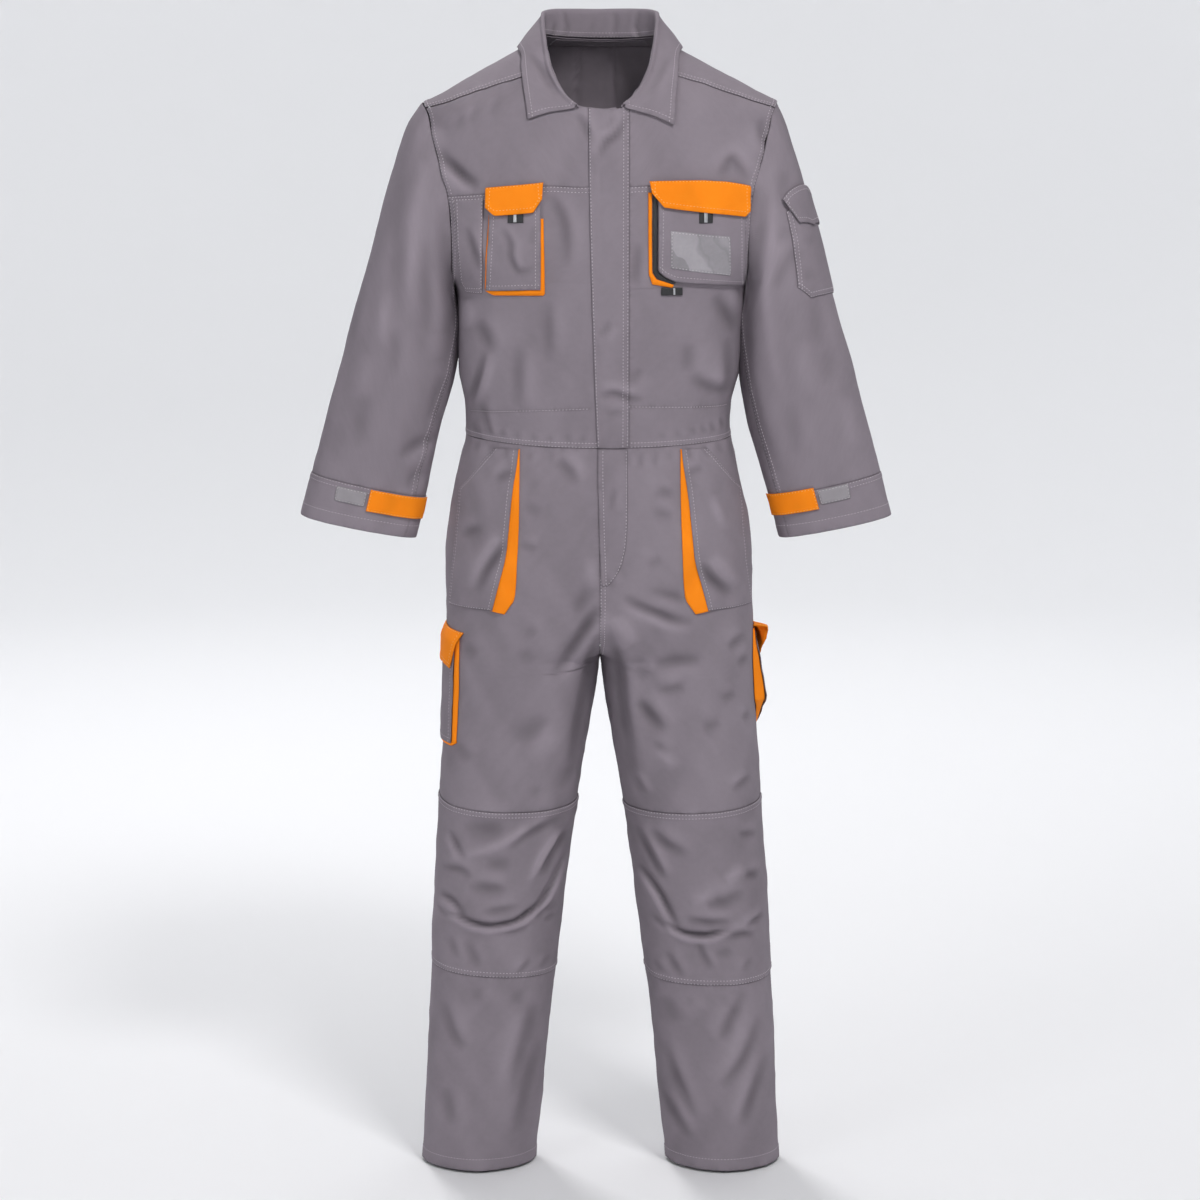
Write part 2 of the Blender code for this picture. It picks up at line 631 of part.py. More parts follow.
def knee_line(side, low):
    """Height of a knee seam at each turn across the front of the leg, from the inseam to the outseam."""
    outer, middle, inner = KNEES[side][3 * low:3 * low + 3]

    def height(turn):
        t = turn / 90
        return middle + (outer - inner) / 2 * t + ((outer + inner) / 2 - middle) * t**2

    return height


def make_leg_front(side, name):
    place = around(leg, side)
    upper, lower = knee_line(side, 0), knee_line(side, 1)
    inseam = TOP_ROWS + [upper(-90)]
    inner = [(float(inner_turn(side, np.float64(z), -1)), z) for z in inseam]
    outer = [(90, z) for z in np.linspace(WAIST_Z, upper(90), len(inseam))]
    waist = [(turn, WAIST_Z) for turn in np.linspace(inner[0][0], 90, THIGH_STEPS + 1)]
    seam = [(turn, upper(turn)) for turn in np.linspace(-90, 90, THIGH_STEPS + 1)]
    piece(f"thigh_front_{name}", "grey_twill", place, between(waist, seam, inner, outer), -CLOTH, 0)

    turns, rows = np.linspace(-90, 90, KNEE_STEPS + 1), np.linspace(0, 1, KNEE_ROWS + 1)
    heights = np.array([upper(turns) * (1 - v) + lower(turns) * v for v in rows])
    spots = np.stack([np.tile(turns, (len(rows), 1)), heights], -1)
    piece(f"knee_patch_{name}", "grey_twill", place, spots, -CLOTH, 0)

    turns = np.linspace(-90, 90, SHIN_STEPS + 1)
    rows = np.linspace(0, 1, len(LOW_ROWS) + 1)
    heights = np.array([lower(turns) * (1 - v) + HEM_Z * v for v in rows])
    spots = np.stack([np.tile(turns, (len(rows), 1)), heights], -1)
    piece(f"shin_front_{name}", "grey_twill", place, spots, -CLOTH, 0)


def make_leg_back(side, name):
    upper, lower = knee_line(side, 0), knee_line(side, 1)
    knee = [upper(-90) * (1 - v) + lower(-90) * v for v in np.linspace(0, 1, 9)]
    shin = [lower(-90) * (1 - v) + HEM_Z * v for v in np.linspace(0, 1, len(LOW_ROWS) + 1)]
    inseam = TOP_ROWS + knee + shin[1:]
    inner = [(float(inner_turn(side, np.float64(z), 1)), z) for z in inseam]
    thigh_out = list(np.linspace(WAIST_Z, upper(90), len(TOP_ROWS) + 1))
    knee_out = [upper(90) * (1 - v) + lower(90) * v for v in np.linspace(0, 1, 9)]
    shin_out = [lower(90) * (1 - v) + HEM_Z * v for v in np.linspace(0, 1, len(LOW_ROWS) + 1)]
    outer = [(90, z) for z in thigh_out + knee_out[1:] + shin_out[1:]]
    waist = [(turn, WAIST_Z) for turn in np.linspace(inner[0][0], 90, LEG_BACK_STEPS + 1)]
    hem = [(turn, HEM_Z) for turn in np.linspace(270, 90, LEG_BACK_STEPS + 1)]
    place = around(leg, side)
    piece(f"leg_back_{name}", "grey_twill", place, between(waist, hem, inner, outer), -CLOTH, 0)


FLY = [
    # z, across of its free edge, across of the line where it is sewn down
    (-561, -3, 38), (-600, -3, 38), (-640, -2, 38), (-680, -1, 37), (-705, 0, 34), (-730, 1, 26), (-750, 2, 12),
]


def make_fly():
    """The fly cover, sewn down along a curve to the end of the opening."""
    spots = np.array([[(a + (b - a) * u, z) for u in (0, 0.33, 0.66, 1)] for z, a, b in FLY])
    piece("fly", "grey_twill", on_body, spots, LIE, LIE + THIN)


# ---- pockets: each patch is columns of (top x, top z, bottom x, bottom z) seen from the front -----

FACE_LIFT = 3.4       # how far a pocket face stands off where its gusset holds it
FLAP_LIFT = 7.6
TAB_LIFT = 5.6

CHEST_RIGHT = [
    (-148.5, -214, -154.5, -343.5), (-126, -212, -130, -343), (-103, -210, -105, -342),
    (-80, -208, -80.4, -341.5),
]
CHEST_LEFT = [
    (79, -212, 79, -315.5), (90, -212, 90, -325), (104, -212, 104, -331), (150, -212, 150, -334.5),
    (175, -213, 174.5, -336), (188, -213.5, 187, -336.5), (197, -214, 196, -337),
]
SIDE_POCKET = [
    (-201, -220, -190.5, -332), (-196, -219.5, -183, -349), (-172, -218, -166, -349),
    (-158.5, -217, -160.5, -348.5),
]
FLAP_RIGHT = [
    (-154, -204, -154, -231), (-141.5, -202.8, -141.7, -242), (-115, -200.5, -115, -240),
    (-89.7, -198, -89.7, -237.5), (-76.3, -196.5, -77.5, -219),
]
FLAP_LEFT = [
    (66.5, -195, 69.5, -211), (83, -194.5, 86, -230.5), (112, -194, 114, -234.5), (140, -194, 143, -238),
    (170, -196, 173, -241), (191, -199.5, 194, -243.5), (201.5, -202, 200.5, -236),
]
# Gussets and the zip strip: each column goes from its edge under the face to its edge on the panel.
GUSSET_RIGHT = [
    (-147, -240, -151, -240), (-150, -300, -155.5, -300), (-152, -342, -157, -344),
    (-146, -343.2, -146, -350.5), (-115, -342.5, -113, -350), (-82.5, -341, -75, -349.5),
    (-81.5, -300, -75.5, -300), (-81, -245, -76.5, -245),
]
GUSSET_LEFT = [
    (70.5, -210, 65.3, -210), (70.5, -270, 65.5, -270), (70.8, -318, 66, -320), (77, -327, 71, -334),
    (100, -334.5, 98, -339),
]
ZIP_STRIP = [
    (77.8, -212, 71.6, -212), (77.8, -270, 71.6, -270), (78, -316, 72, -318), (88, -325, 79, -327.5),
    (103.5, -332.3, 100.5, -334.4),
]
FLAP_TAB_RIGHT = [(-124, -232, -124, -251), (-103.3, -231, -103.3, -251)]
FLAP_TAB_LEFT = [(133.4, -232, 133.4, -251.7), (151.4, -232, 151.4, -251.7)]
POCKET_END_TAB = [(83.2, -340.5, 83.2, -349), (112, -340.5, 112, -349)]
WINDOW = [
    (95.3, -261.7, 95.3, -312), (122, -264.5, 122, -316), (135, -266, 135, -318), (149, -267.5, 149, -319.5),
    (164, -269, 164, -321.2), (175.5, -270, 176, -322.7),
]
WINDOW_FILM = 1.0
WINDOW_LIFT = FACE_LIFT + THIN + 2.2
SIDE_POCKET_LIFT = 1.8


def make_chest_pockets():
    piece("chest_pocket_right", "grey_twill", on_body, strip(CHEST_RIGHT, 4), FACE_LIFT, FACE_LIFT + THIN)
    make_gusset("chest_gusset_right", on_body, GUSSET_RIGHT)
    spots = strip(SIDE_POCKET, 4, 2)
    piece("side_pocket", "grey_twill", on_body, spots, SIDE_POCKET_LIFT, SIDE_POCKET_LIFT + THIN)
    piece("chest_flap_right", "orange_twill", on_body, strip(FLAP_RIGHT, 2), FLAP_LIFT, FLAP_LIFT + CLOTH)
    piece("flap_tab_right", "black_tape", on_body, strip(FLAP_TAB_RIGHT), TAB_LIFT, TAB_LIFT + TAPE)

    piece("chest_pocket_left", "grey_twill", on_body, strip(CHEST_LEFT, 4), FACE_LIFT, FACE_LIFT + THIN)
    make_gusset("chest_gusset_left", on_body, GUSSET_LEFT)
    piece("chest_zip_strip", "black_tape", on_body, strip(ZIP_STRIP), LIE, LIE + TAPE)
    piece("chest_flap_left", "orange_twill", on_body, strip(FLAP_LEFT, 2), FLAP_LIFT, FLAP_LIFT + CLOTH)
    piece("flap_tab_left", "black_tape", on_body, strip(FLAP_TAB_LEFT), TAB_LIFT, TAB_LIFT + TAPE)
    piece("pocket_end_tab", "black_tape", on_body, strip(POCKET_END_TAB), LIE, LIE + TAPE)
    spots = strip(WINDOW, 1, 2)
    piece("pocket_window", "clear_film", on_body, spots, WINDOW_LIFT, WINDOW_LIFT + WINDOW_FILM)


def make_gusset(name, place, columns, near=FACE_LIFT - THIN - 0.7, far=LIE):
    """The bellows strip of a pocket: its near edge is under the face, its far edge on the panel."""
    lift = np.array([near + np.zeros(len(columns)), far + np.zeros(len(columns))])
    piece(name, "orange_twill", place, strip(columns, 1), lift, lift + THIN)


HIP_EDGE = [
    # z, across of the face's inner edge, across of the gusset's seam on the panel
    (-565, 112, 110.2), (-580, 115.5, 110.3), (-610, 121, 110.6), (-635, 124, 110.9), (-662, 126.5, 111.4),
    (-690, 129, 112.5), (-715, 131.5, 113.8), (-743, 138.5, 115.2), (-765, 143.5, 117), (-773, 145, 119),
    (-788, 148.5, 132),
]
# The slanted hand opening of a hip pocket, and below it the pocket's outer seam: height, across.
HIP_OPENING = [(-789, 203), (-625, 195), (-563, 146.5)]
HIP_ACROSS = (0, 0.12, 0.28, 0.46, 0.62, 0.76, 0.88, 1)   # columns of the face, from its inner edge
HIP_SEWN_LIFT = 2.1   # how far the face stands off along its sewn edges


def make_hip_pocket(side, name):
    place = on_leg(side)
    rows = []
    for z, inner, _ in HIP_EDGE:
        outer = follow(HIP_OPENING, z)
        rows.append([(inner + (outer - inner) * u, z) for u in HIP_ACROSS])
    spots = np.array(rows)
    held_off = np.clip(1 - 3 * np.array(HIP_ACROSS), 0, 1)
    lift = HIP_SEWN_LIFT + (FACE_LIFT - HIP_SEWN_LIFT) * held_off[None, :] + 0 * spots[..., 0]
    piece(f"hip_pocket_{name}", "grey_twill", place, spots, lift, lift + THIN)
    columns = [(edge + 4, z, seam, z if z > -780 else z - 4) for z, edge, seam in HIP_EDGE[1:]]
    near = FACE_LIFT - THIN - 0.5
    make_gusset(f"hip_gusset_{name}", place, columns, near, LIE)


# Cargo pockets on the sides of the legs, in turns and heights of the leg.
CARGO = {
    # side: turn of the gusset's seam, turns of the face's front and back edge, height of its bottom,
    # lift of its front edge
    -1: (43.5, 50.5, 126, -984, 4.4),
    1: (73, 80, 150, -975, 14.0),
}
CARGO_TOP = -834
CARGO_FLAP_TOP = -821
CARGO_FLAP_LOW = -873
CARGO_FLAP_CORNER = 14   # how far the cut corners of the flap end above its edge
CARGO_SLOPE = 34         # turn over which the face comes down from its front edge
CARGO_FLAP_OVER = 3.6    # how far the flap lies above the back of the face


def cargo_rise(side, turns):
    start, lift = CARGO[side][1], CARGO[side][4]
    return FACE_LIFT + (lift - FACE_LIFT) * np.clip(1 - (turns - start) / CARGO_SLOPE, 0, 1)


def make_cargo_pocket(side, name):
    place = around(leg, side)
    seam, start, end, low, lift = CARGO[side]
    turns = np.linspace(start, end, 8)
    rise = cargo_rise(side, turns)
    spots = strip([(turn, CARGO_TOP, turn, low) for turn in turns], 5)
    piece(f"cargo_pocket_{name}", "grey_twill", place, spots, rise, rise + THIN)
    rows = np.linspace(CARGO_TOP - 6, low + 1, 7)
    columns = [(start + 0.6, z, seam, z) for z in rows]
    columns += [(turn, low + 2, turn - 2, low - 5) for turn in np.arange(start + 4, end - 20, 12)]
    near = [lift - THIN - 1] * len(rows)
    near += [float(cargo_rise(side, turn)) - THIN - 0.9 for turn in np.arange(start + 4, end - 20, 12)]
    make_gusset(f"cargo_gusset_{name}", place, columns, near, LIE)
    turns = np.linspace(start - 6, end + 4, 9)
    rise = cargo_rise(side, turns) + CARGO_FLAP_OVER
    corners = [CARGO_FLAP_CORNER if turn in (turns[0], turns[-1]) else 0 for turn in turns]
    columns = [(turn, CARGO_FLAP_TOP, turn, CARGO_FLAP_LOW + rise) for turn, rise in zip(turns, corners)]
    piece(f"cargo_flap_{name}", "orange_twill", place, strip(columns, 3), rise, rise + CLOTH)


SLEEVE_POCKET = [
    # columns of (top turn, top height, bottom turn, bottom height)
    (25, -186, 15, -312), (39, -195, 28, -341), (60, -212, 50, -348), (82, -225, 78, -354),
    (108, -232, 106, -356),
]
SLEEVE_FLAP = [
    (25, -163, 26.5, -177), (36, -170, 34, -222), (58, -190, 56, -250), (84, -211, 83, -258),
    (103, -222, 102, -262), (112, -224, 111, -244),
]
SLEEVE_FLAP_LIFT = 2 * LIE + THIN + 0.6


def make_sleeve_pocket():
    place = around(sleeve, 1)
    piece("sleeve_pocket", "grey_twill", place, strip(SLEEVE_POCKET, 5, 2), LIE, LIE + THIN)
    low, high = SLEEVE_FLAP_LIFT, SLEEVE_FLAP_LIFT + CLOTH
    piece("sleeve_flap", "grey_twill", place, strip(SLEEVE_FLAP, 3, 2), low, high)


make_back()
make_placket()
make_collar()
make_chest_pockets()
make_sleeve_pocket()
make_fly()
for wearer_side, side_name in ((-1, "right"), (1, "left")):
    make_front(wearer_side, side_name)
    make_sleeve(wearer_side, side_name)
    make_cuff_tab(wearer_side, side_name)
    make_leg_front(wearer_side, side_name)
    make_leg_back(wearer_side, side_name)
    make_hip_pocket(wearer_side, side_name)
    make_cargo_pocket(wearer_side, side_name)
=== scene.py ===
import json
from types import SimpleNamespace

import bmesh
import bpy
import numpy as np
from mathutils import Matrix, Vector

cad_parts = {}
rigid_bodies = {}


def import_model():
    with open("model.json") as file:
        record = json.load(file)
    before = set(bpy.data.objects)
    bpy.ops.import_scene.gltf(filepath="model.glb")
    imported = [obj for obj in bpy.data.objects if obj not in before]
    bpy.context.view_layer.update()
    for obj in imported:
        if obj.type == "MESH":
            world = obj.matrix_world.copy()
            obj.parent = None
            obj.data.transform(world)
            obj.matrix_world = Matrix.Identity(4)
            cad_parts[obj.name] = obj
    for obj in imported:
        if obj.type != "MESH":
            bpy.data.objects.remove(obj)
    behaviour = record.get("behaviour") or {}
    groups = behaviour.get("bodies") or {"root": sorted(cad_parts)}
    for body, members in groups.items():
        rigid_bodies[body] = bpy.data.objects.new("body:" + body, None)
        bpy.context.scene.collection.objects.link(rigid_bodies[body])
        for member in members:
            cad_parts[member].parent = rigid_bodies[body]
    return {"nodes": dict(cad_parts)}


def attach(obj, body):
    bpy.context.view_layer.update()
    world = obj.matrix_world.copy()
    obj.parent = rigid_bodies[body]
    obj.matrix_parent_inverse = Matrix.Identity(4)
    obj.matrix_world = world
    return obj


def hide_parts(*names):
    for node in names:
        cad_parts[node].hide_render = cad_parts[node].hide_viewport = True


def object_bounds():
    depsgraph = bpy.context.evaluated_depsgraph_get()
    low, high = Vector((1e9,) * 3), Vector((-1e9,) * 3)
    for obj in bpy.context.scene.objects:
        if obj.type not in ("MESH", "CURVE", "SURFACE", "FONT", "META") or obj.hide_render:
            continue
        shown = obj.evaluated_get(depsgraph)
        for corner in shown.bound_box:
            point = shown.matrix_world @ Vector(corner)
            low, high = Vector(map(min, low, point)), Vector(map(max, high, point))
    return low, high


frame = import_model()
cadBox = [list(corner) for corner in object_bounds()]
mm = 0.001    # the tables below are in millimetres, the model is in metres
print("frame loaded:", len(frame["nodes"]), "nodes")


# the camera, the floor and the lights

studio = {
    "cameraBack": 4.85, "cameraTilt": 9.26, "lens": 103.77,
    # the paper is a round bowl: flat floor, a sweep, then a wall
    "floorBelow": 0.004, "floorRadius": 5.0, "sweep": 3.2, "wallTop": 6.0, "floorColour": (0.80, 0.805, 0.82),
    # name, place, aim, width, height, power, colour
    "softboxes": [
        ("keyLight", (1.2, -2.7, 2.7), (0, 0, -0.2), 0.9, 0.9, 96, (1.0, 0.985, 0.985)),
        ("fillLight", (-2.8, -3.0, 0.9), (0, 0, -0.45), 1.4, 1.8, 22, (0.98, 0.985, 1.0)),
        ("frontLight", (0, -5.4, 1.0), (0, 0, -0.3), 1.2, 1.2, 20, (1, 1, 1)),
        ("backLight", (-1.1, 3.0, 2.6), (0, 0, -0.2), 0.9, 0.9, 84, (1, 0.99, 0.99)),
        ("topLight", (0, 0, 3.4), (0, 0, -0.6), 2.0, 2.0, 12, (1, 1, 1)),
    ],
    # the lights of the paper stand in a ring and face outward, from the rear ones to the front ones
    "ringTurns": (30, -30, 90, -90, 150, -150), "ringPower": (114, 114, 32, 32, 28, 28),
    "ringRadius": 3.6, "ringHeight": 3.4, "ringAim": (7.0, -0.8),
    "air": (0.93, 0.945, 0.97), "airStrength": 0.05,
}


def aimed(place, aim):
    turn = (Vector(aim) - Vector(place)).to_track_quat("-Z", "Y")
    return Matrix.Translation(place) @ turn.to_matrix().to_4x4()


def addSoftbox(name, place, aim, width, height, power, colour):
    light = bpy.data.lights.new(name, "AREA")
    light.shape, light.size, light.size_y = "RECTANGLE", width, height
    light.energy, light.color = power, colour
    lamp = bpy.data.objects.new(name, light)
    bpy.context.scene.collection.objects.link(lamp)
    lamp.matrix_world = aimed(place, aim)


def addCamera():
    camera = bpy.data.objects.new("camera", bpy.data.cameras.new("camera"))
    camera.data.lens, camera.data.sensor_width = studio["lens"], 36
    camera.location = (0, -studio["cameraBack"], 0)
    camera.rotation_euler = (np.radians(90 - studio["cameraTilt"]), 0, 0)
    bpy.context.scene.collection.objects.link(camera)
    bpy.context.scene.camera = camera


def addWorld():
    world = bpy.data.worlds.new("air")
    world.use_nodes = True
    sky = world.node_tree.nodes["Background"]
    sky.inputs["Color"].default_value = (*studio["air"], 1)
    sky.inputs["Strength"].default_value = studio["airStrength"]
    bpy.context.scene.world = world


def addBackdrop():
    floorZ = cadBox[0][2] - studio["floorBelow"]
    start, sweep = studio["floorRadius"], studio["sweep"]
    bend = np.radians(np.linspace(0, 90, 25))
    profile = [(0.001, floorZ)] + [(start + sweep * np.sin(a), floorZ + sweep - sweep * np.cos(a)) for a in bend]
    profile.append((start + sweep, studio["wallTop"]))
    paperSheet = bmesh.new()
    bmesh.ops.create_grid(paperSheet, x_segments=96, y_segments=len(profile) - 1, size=1)
    for i, vert in enumerate(paperSheet.verts):
        radius, z = profile[i // 97]
        turn = 2 * np.pi * (i % 97) / 96
        vert.co = (radius * np.sin(turn), radius * np.cos(turn), z)
    bmesh.ops.remove_doubles(paperSheet, verts=paperSheet.verts[:], dist=0.002)
    mesh = bpy.data.meshes.new("backdrop")
    paperSheet.to_mesh(mesh)
    paperSheet.free()
    mesh.shade_smooth()
    backdrop = bpy.data.objects.new("backdrop", mesh)
    bpy.context.scene.collection.objects.link(backdrop)
    paper = bpy.data.materials.new("studioPaper")
    paper.use_nodes = True
    shader = paper.node_tree.nodes["Principled BSDF"]
    shader.inputs["Base Color"].default_value = (*studio["floorColour"], 1)
    shader.inputs["Roughness"].default_value = 0.7
    mesh.materials.append(paper)


def addRing():
    out, height = studio["ringAim"]
    for turn, power in zip(studio["ringTurns"], studio["ringPower"]):
        ahead = np.array([np.sin(np.radians(turn)), np.cos(np.radians(turn))])
        addSoftbox(f"ringLight{turn}", (*(ahead * studio["ringRadius"]), studio["ringHeight"]), (*(ahead * out), height),
                   2.4, 1.2, power, (0.985, 0.99, 1.0))


# the display keeps the cloth's colours as they are
bpy.context.scene.view_settings.view_transform = "Standard"
addCamera()
addWorld()
addBackdrop()
for softbox in studio["softboxes"]:
    addSoftbox(*softbox)
addRing()
print("studio ready")


# the form that all the cloth lies on, the same as in the solids

form = {
    "crotch": -862, "hem": -1611, "shoulder": -90, "underarm": -344, "armFade": -230,
    "waist": -560, "waistRise": {-1: 9, 1: 6},    # how far the waist seam rises to each side
    # height, half-width on the wearer's right and left, reach to the front and back, squareness
    "body": [
        (0, 76, 76, 26, 68, 2.0), (-12, 100, 100, 40, 82, 2.05), (-25, 124, 124, 54, 92, 2.1),
        (-50, 171, 171, 77, 106, 2.2), (-75, 217, 217, 95, 116, 2.3), (-90, 246, 247, 103, 121, 2.35),
        (-130, 253, 255, 114, 127, 2.4), (-180, 255, 256, 124, 132, 2.45), (-230, 249, 250, 130, 134, 2.5),
        (-290, 233, 234, 134, 133, 2.5), (-320, 219, 220, 134, 132, 2.5), (-344, 203, 204, 134, 131, 2.5),
        (-370, 200, 200, 133, 128, 2.5), (-400, 199.5, 197.5, 132, 126, 2.45), (-440, 199, 196, 129, 122, 2.4),
        (-463, 198, 194.5, 127, 120, 2.4), (-505, 190, 184, 125, 118, 2.35), (-534, 188, 182, 123, 117, 2.3),
        (-560, 189, 184, 122, 118, 2.3), (-590, 197, 191, 126, 124, 2.35), (-619, 203, 197, 130, 131, 2.4),
        (-676, 212, 208, 133, 140, 2.4), (-733, 217, 213, 132, 142, 2.4), (-790, 217, 214, 128, 138, 2.4),
        (-830, 217, 215, 122, 132, 2.4), (-862, 218, 216, 116, 126, 2.4),
    ],
    # height, how far the hips have parted into two legs
    "parting": [
        (-560, 0), (-660, 0), (-720, 0.04), (-770, 0.14), (-805, 0.32), (-832, 0.58), (-850, 0.82), (-858, 0.94),
        (-862, 1),
    ],
    # height, right leg's outer and inner edge, left leg's, reach to the front and back, squareness
    "legs": [
        (-862, 218, 0, 216, 0, 116, 126, 2.4), (-906, 220, 6, 218.5, 7, 110, 118, 2.4),
        (-964, 222.5, 16, 221, 15, 104, 110, 2.4), (-1023, 226.5, 26, 226.5, 25, 99, 104, 2.35),
        (-1081, 231, 33, 229, 34, 95, 98, 2.35), (-1140, 234, 42, 233, 42, 92, 92, 2.3),
        (-1199, 237, 49, 239, 49, 90, 88, 2.3), (-1288, 241, 59, 243, 60, 86, 84, 2.3),
        (-1348, 243, 66, 246, 68, 83, 82, 2.3), (-1467, 250, 79, 252, 80, 78, 80, 2.3),
        (-1558, 255.5, 89, 257, 89, 75, 78, 2.1), (-1611, 259, 95, 261, 95, 73, 77, 1.85),
    ],
    # outer and inner height of a ring, right sleeve's outer and inner edge, left's, front, back, squareness
    "sleeves": [
        (-90, -344, 246, 200, 247, 200, 84, 82, 2.2), (-115, -349, 263, 199.5, 258, 199.5, 87, 84, 2.2),
        (-143, -355, 274, 199, 267, 199, 88, 85, 2.2), (-170, -361, 282, 198.5, 276, 198, 88, 85, 2.2),
        (-226, -372, 300, 197, 292, 196, 87, 84, 2.2), (-281, -387, 316, 194, 308, 192.5, 85, 82, 2.2),
        (-337, -405, 332, 194, 322, 192, 81, 79, 2.2), (-393, -435, 348, 198, 336, 193.5, 76, 75, 2.2),
        (-449, -480, 362, 207, 353, 198.5, 69, 69, 2.2), (-505, -538, 379, 224.5, 367, 209.5, 61, 62, 2.2),
        (-562, -596, 395, 238, 383, 226, 54, 56, 2.2), (-619, -653, 410, 250, 398, 241, 49, 51, 2.25),
        (-667, -699, 421, 261.5, 410, 253, 46, 48, 2.3),
    ],
    # height, distance of the armhole seam from the middle
    "armhole": [
        (-90, 246.5), (-97, 241), (-130, 231), (-165, 222.5), (-195, 213), (-223, 207.5), (-260, 204.5),
        (-305, 203), (-325, 203), (-338, 203.3), (-344, 203.5),
    ],
}


def smoothCurve(keys, values, at):
    # a smooth curve through values, one at each key
    keys, values, at = (np.asarray(part, float) for part in (keys, values, at))
    slopes = np.gradient(values, keys, axis=0)
    k = np.clip(np.searchsorted(keys, at) - 1, 0, len(keys) - 2)
    span = keys[k + 1] - keys[k]
    t = np.clip((at - keys[k]) / span, 0, 1)
    more = (..., *(None,) * (values.ndim - 1))
    span, t = span[more], t[more]
    low, high, leave, arrive = values[k], values[k + 1], slopes[k] * span, slopes[k + 1] * span
    return low + t * (leave + t * (3 * (high - low) - 2 * leave - arrive + t * (2 * (low - high) + leave + arrive)))


def readTable(name, index, at):
    table = np.array(form[name], float)[::-1]
    return smoothCurve(table[:, 0], table[:, index], at)


def ringPoint(turn, right, left, front, back, square):
    # a point of a rounded ring: 0 is its front, 90 its +X side, 180 its back
    s, c = np.sin(np.radians(turn)), np.cos(np.radians(turn))
    wide, deep = np.where(s < 0, right, left), np.where(c > 0, front, back)
    reach = ((np.abs(s) / wide) ** square + (np.abs(c) / deep) ** square) ** (-1 / square)
    return reach * s, -reach * c


def turnAcross(across, wide, deep, square, face):
    share = np.clip(np.abs(across / wide), 0, 1)
    turn = np.degrees(np.arctan2(across, -face * deep * (1 - share**square) ** (1 / square)))
    return turn % 360 if face > 0 else turn


def bodyPoint(side, turn, z):
    right, left, front, back, square = (readTable("body", i, z) for i in range(1, 6))
    near, far = (right, left) if side < 0 else (left, right)
    x, y = ringPoint(turn, far, near, front, back, square)
    return np.stack([side * x, y, z + 0 * x], -1)


def bodyTurn(side, across, z, face=-1):
    wide = np.where(side * across < 0, readTable("body", 1, z), readTable("body", 2, z))
    return turnAcross(across, wide, readTable("body", 3 if face < 0 else 4, z), readTable("body", 5, z), face)


def legSizes(side, z):
    up, hip, low = z > form["crotch"], np.maximum(z, form["crotch"]), np.minimum(z, form["crotch"])
    wide = readTable("body", 1 if side < 0 else 2, hip)
    parting = readTable("parting", 1, hip)
    outer = readTable("legs", 1 if side < 0 else 3, low)
    inner = readTable("legs", 2 if side < 0 else 4, low)
    middle = np.where(up, wide * parting / (1 + parting), (outer + inner) / 2)
    half = np.where(up, wide / (1 + parting), (outer - inner) / 2)
    rest = [np.where(up, readTable("body", i, hip), readTable("legs", i + 2, low)) for i in (3, 4, 5)]
    return middle, half, *rest


def legPoint(side, turn, z):
    # 0 is the front of the leg, 90 the outseam, -90 the inseam, 180 the back
    middle, half, front, back, square = legSizes(side, z)
    x, y = ringPoint(turn, half, half, front, back, square)
    return np.stack([side * (middle + x), y, z + 0 * x], -1)


def legTurn(side, across, z, face=-1):
    middle, half, front, back, square = legSizes(side, z)
    return turnAcross(across - middle, half, front if face < 0 else back, square, face)


def innerTurn(side, z, face):
    seam = -90.0 if face < 0 else 270.0
    return np.where(z > form["crotch"], legTurn(side, 0 * z, z, face), seam)


def armholeSpot(side, turn):
    # 90 is the shoulder point, 0 the front, -90 the underarm
    top, low = form["shoulder"], form["underarm"]
    z = (top + low) / 2 + (top - low) / 2 * np.sin(np.radians(turn))
    out = readTable("armhole", 1, z)
    front = np.cos(np.radians(turn)) > 1e-9
    return np.where(front, bodyTurn(side, out, z, -1), bodyTurn(side, out, z, 1)), z


def sleeveRing(side, turn, down):
    pick = 2 if side < 0 else 4
    outer = np.stack([readTable("sleeves", pick, down), down + 0 * turn], -1)
    inner = np.stack([readTable("sleeves", pick + 1, down), readTable("sleeves", 1, down) + 0 * turn], -1)
    middle, half = (outer + inner) / 2, (outer - inner) / 2
    length = np.linalg.norm(half, axis=-1)
    along, y = ringPoint(turn, length, length, *(readTable("sleeves", i, down) for i in (6, 7, 8)))
    place = middle + half * (along / length)[..., None]
    return np.stack([side * place[..., 0], y, place[..., 1]], -1)


def sleevePoint(side, turn, down):
    # 90 is the sleeve's outer edge, 0 its front, -90 its inner edge; its head fits the armhole
    share = np.clip((down - form["armFade"]) / (form["shoulder"] - form["armFade"]), 0, 1) ** 2
    hole = bodyPoint(side, *armholeSpot(side, turn)) - sleeveRing(side, turn, form["shoulder"] + 0 * down)
    return sleeveRing(side, turn, down) + hole * share[..., None]


# the soft hollows and ridges of the cloth

drape = {
    # size of a hill across, deep and high, how far it leans, and its height
    "body": [((75, 75, 210), 0, 1.8), ((24, 30, 85), 0.35, 0.65), ((13, 20, 34), -0.6, 0.3)],
    "leg": [((70, 70, 230), 0, 2.4), ((24, 30, 75), -0.55, 1.0), ((13, 20, 38), 0.7, 0.4)],
    "arm": [((60, 60, 170), 0, 2.6), ((20, 26, 95), 0.3, 0.8), ((12, 18, 38), -0.5, 0.3)],
    "collar": [((38, 38, 30), 0, 0.5), ((14, 14, 14), 0, 0.3)],
}

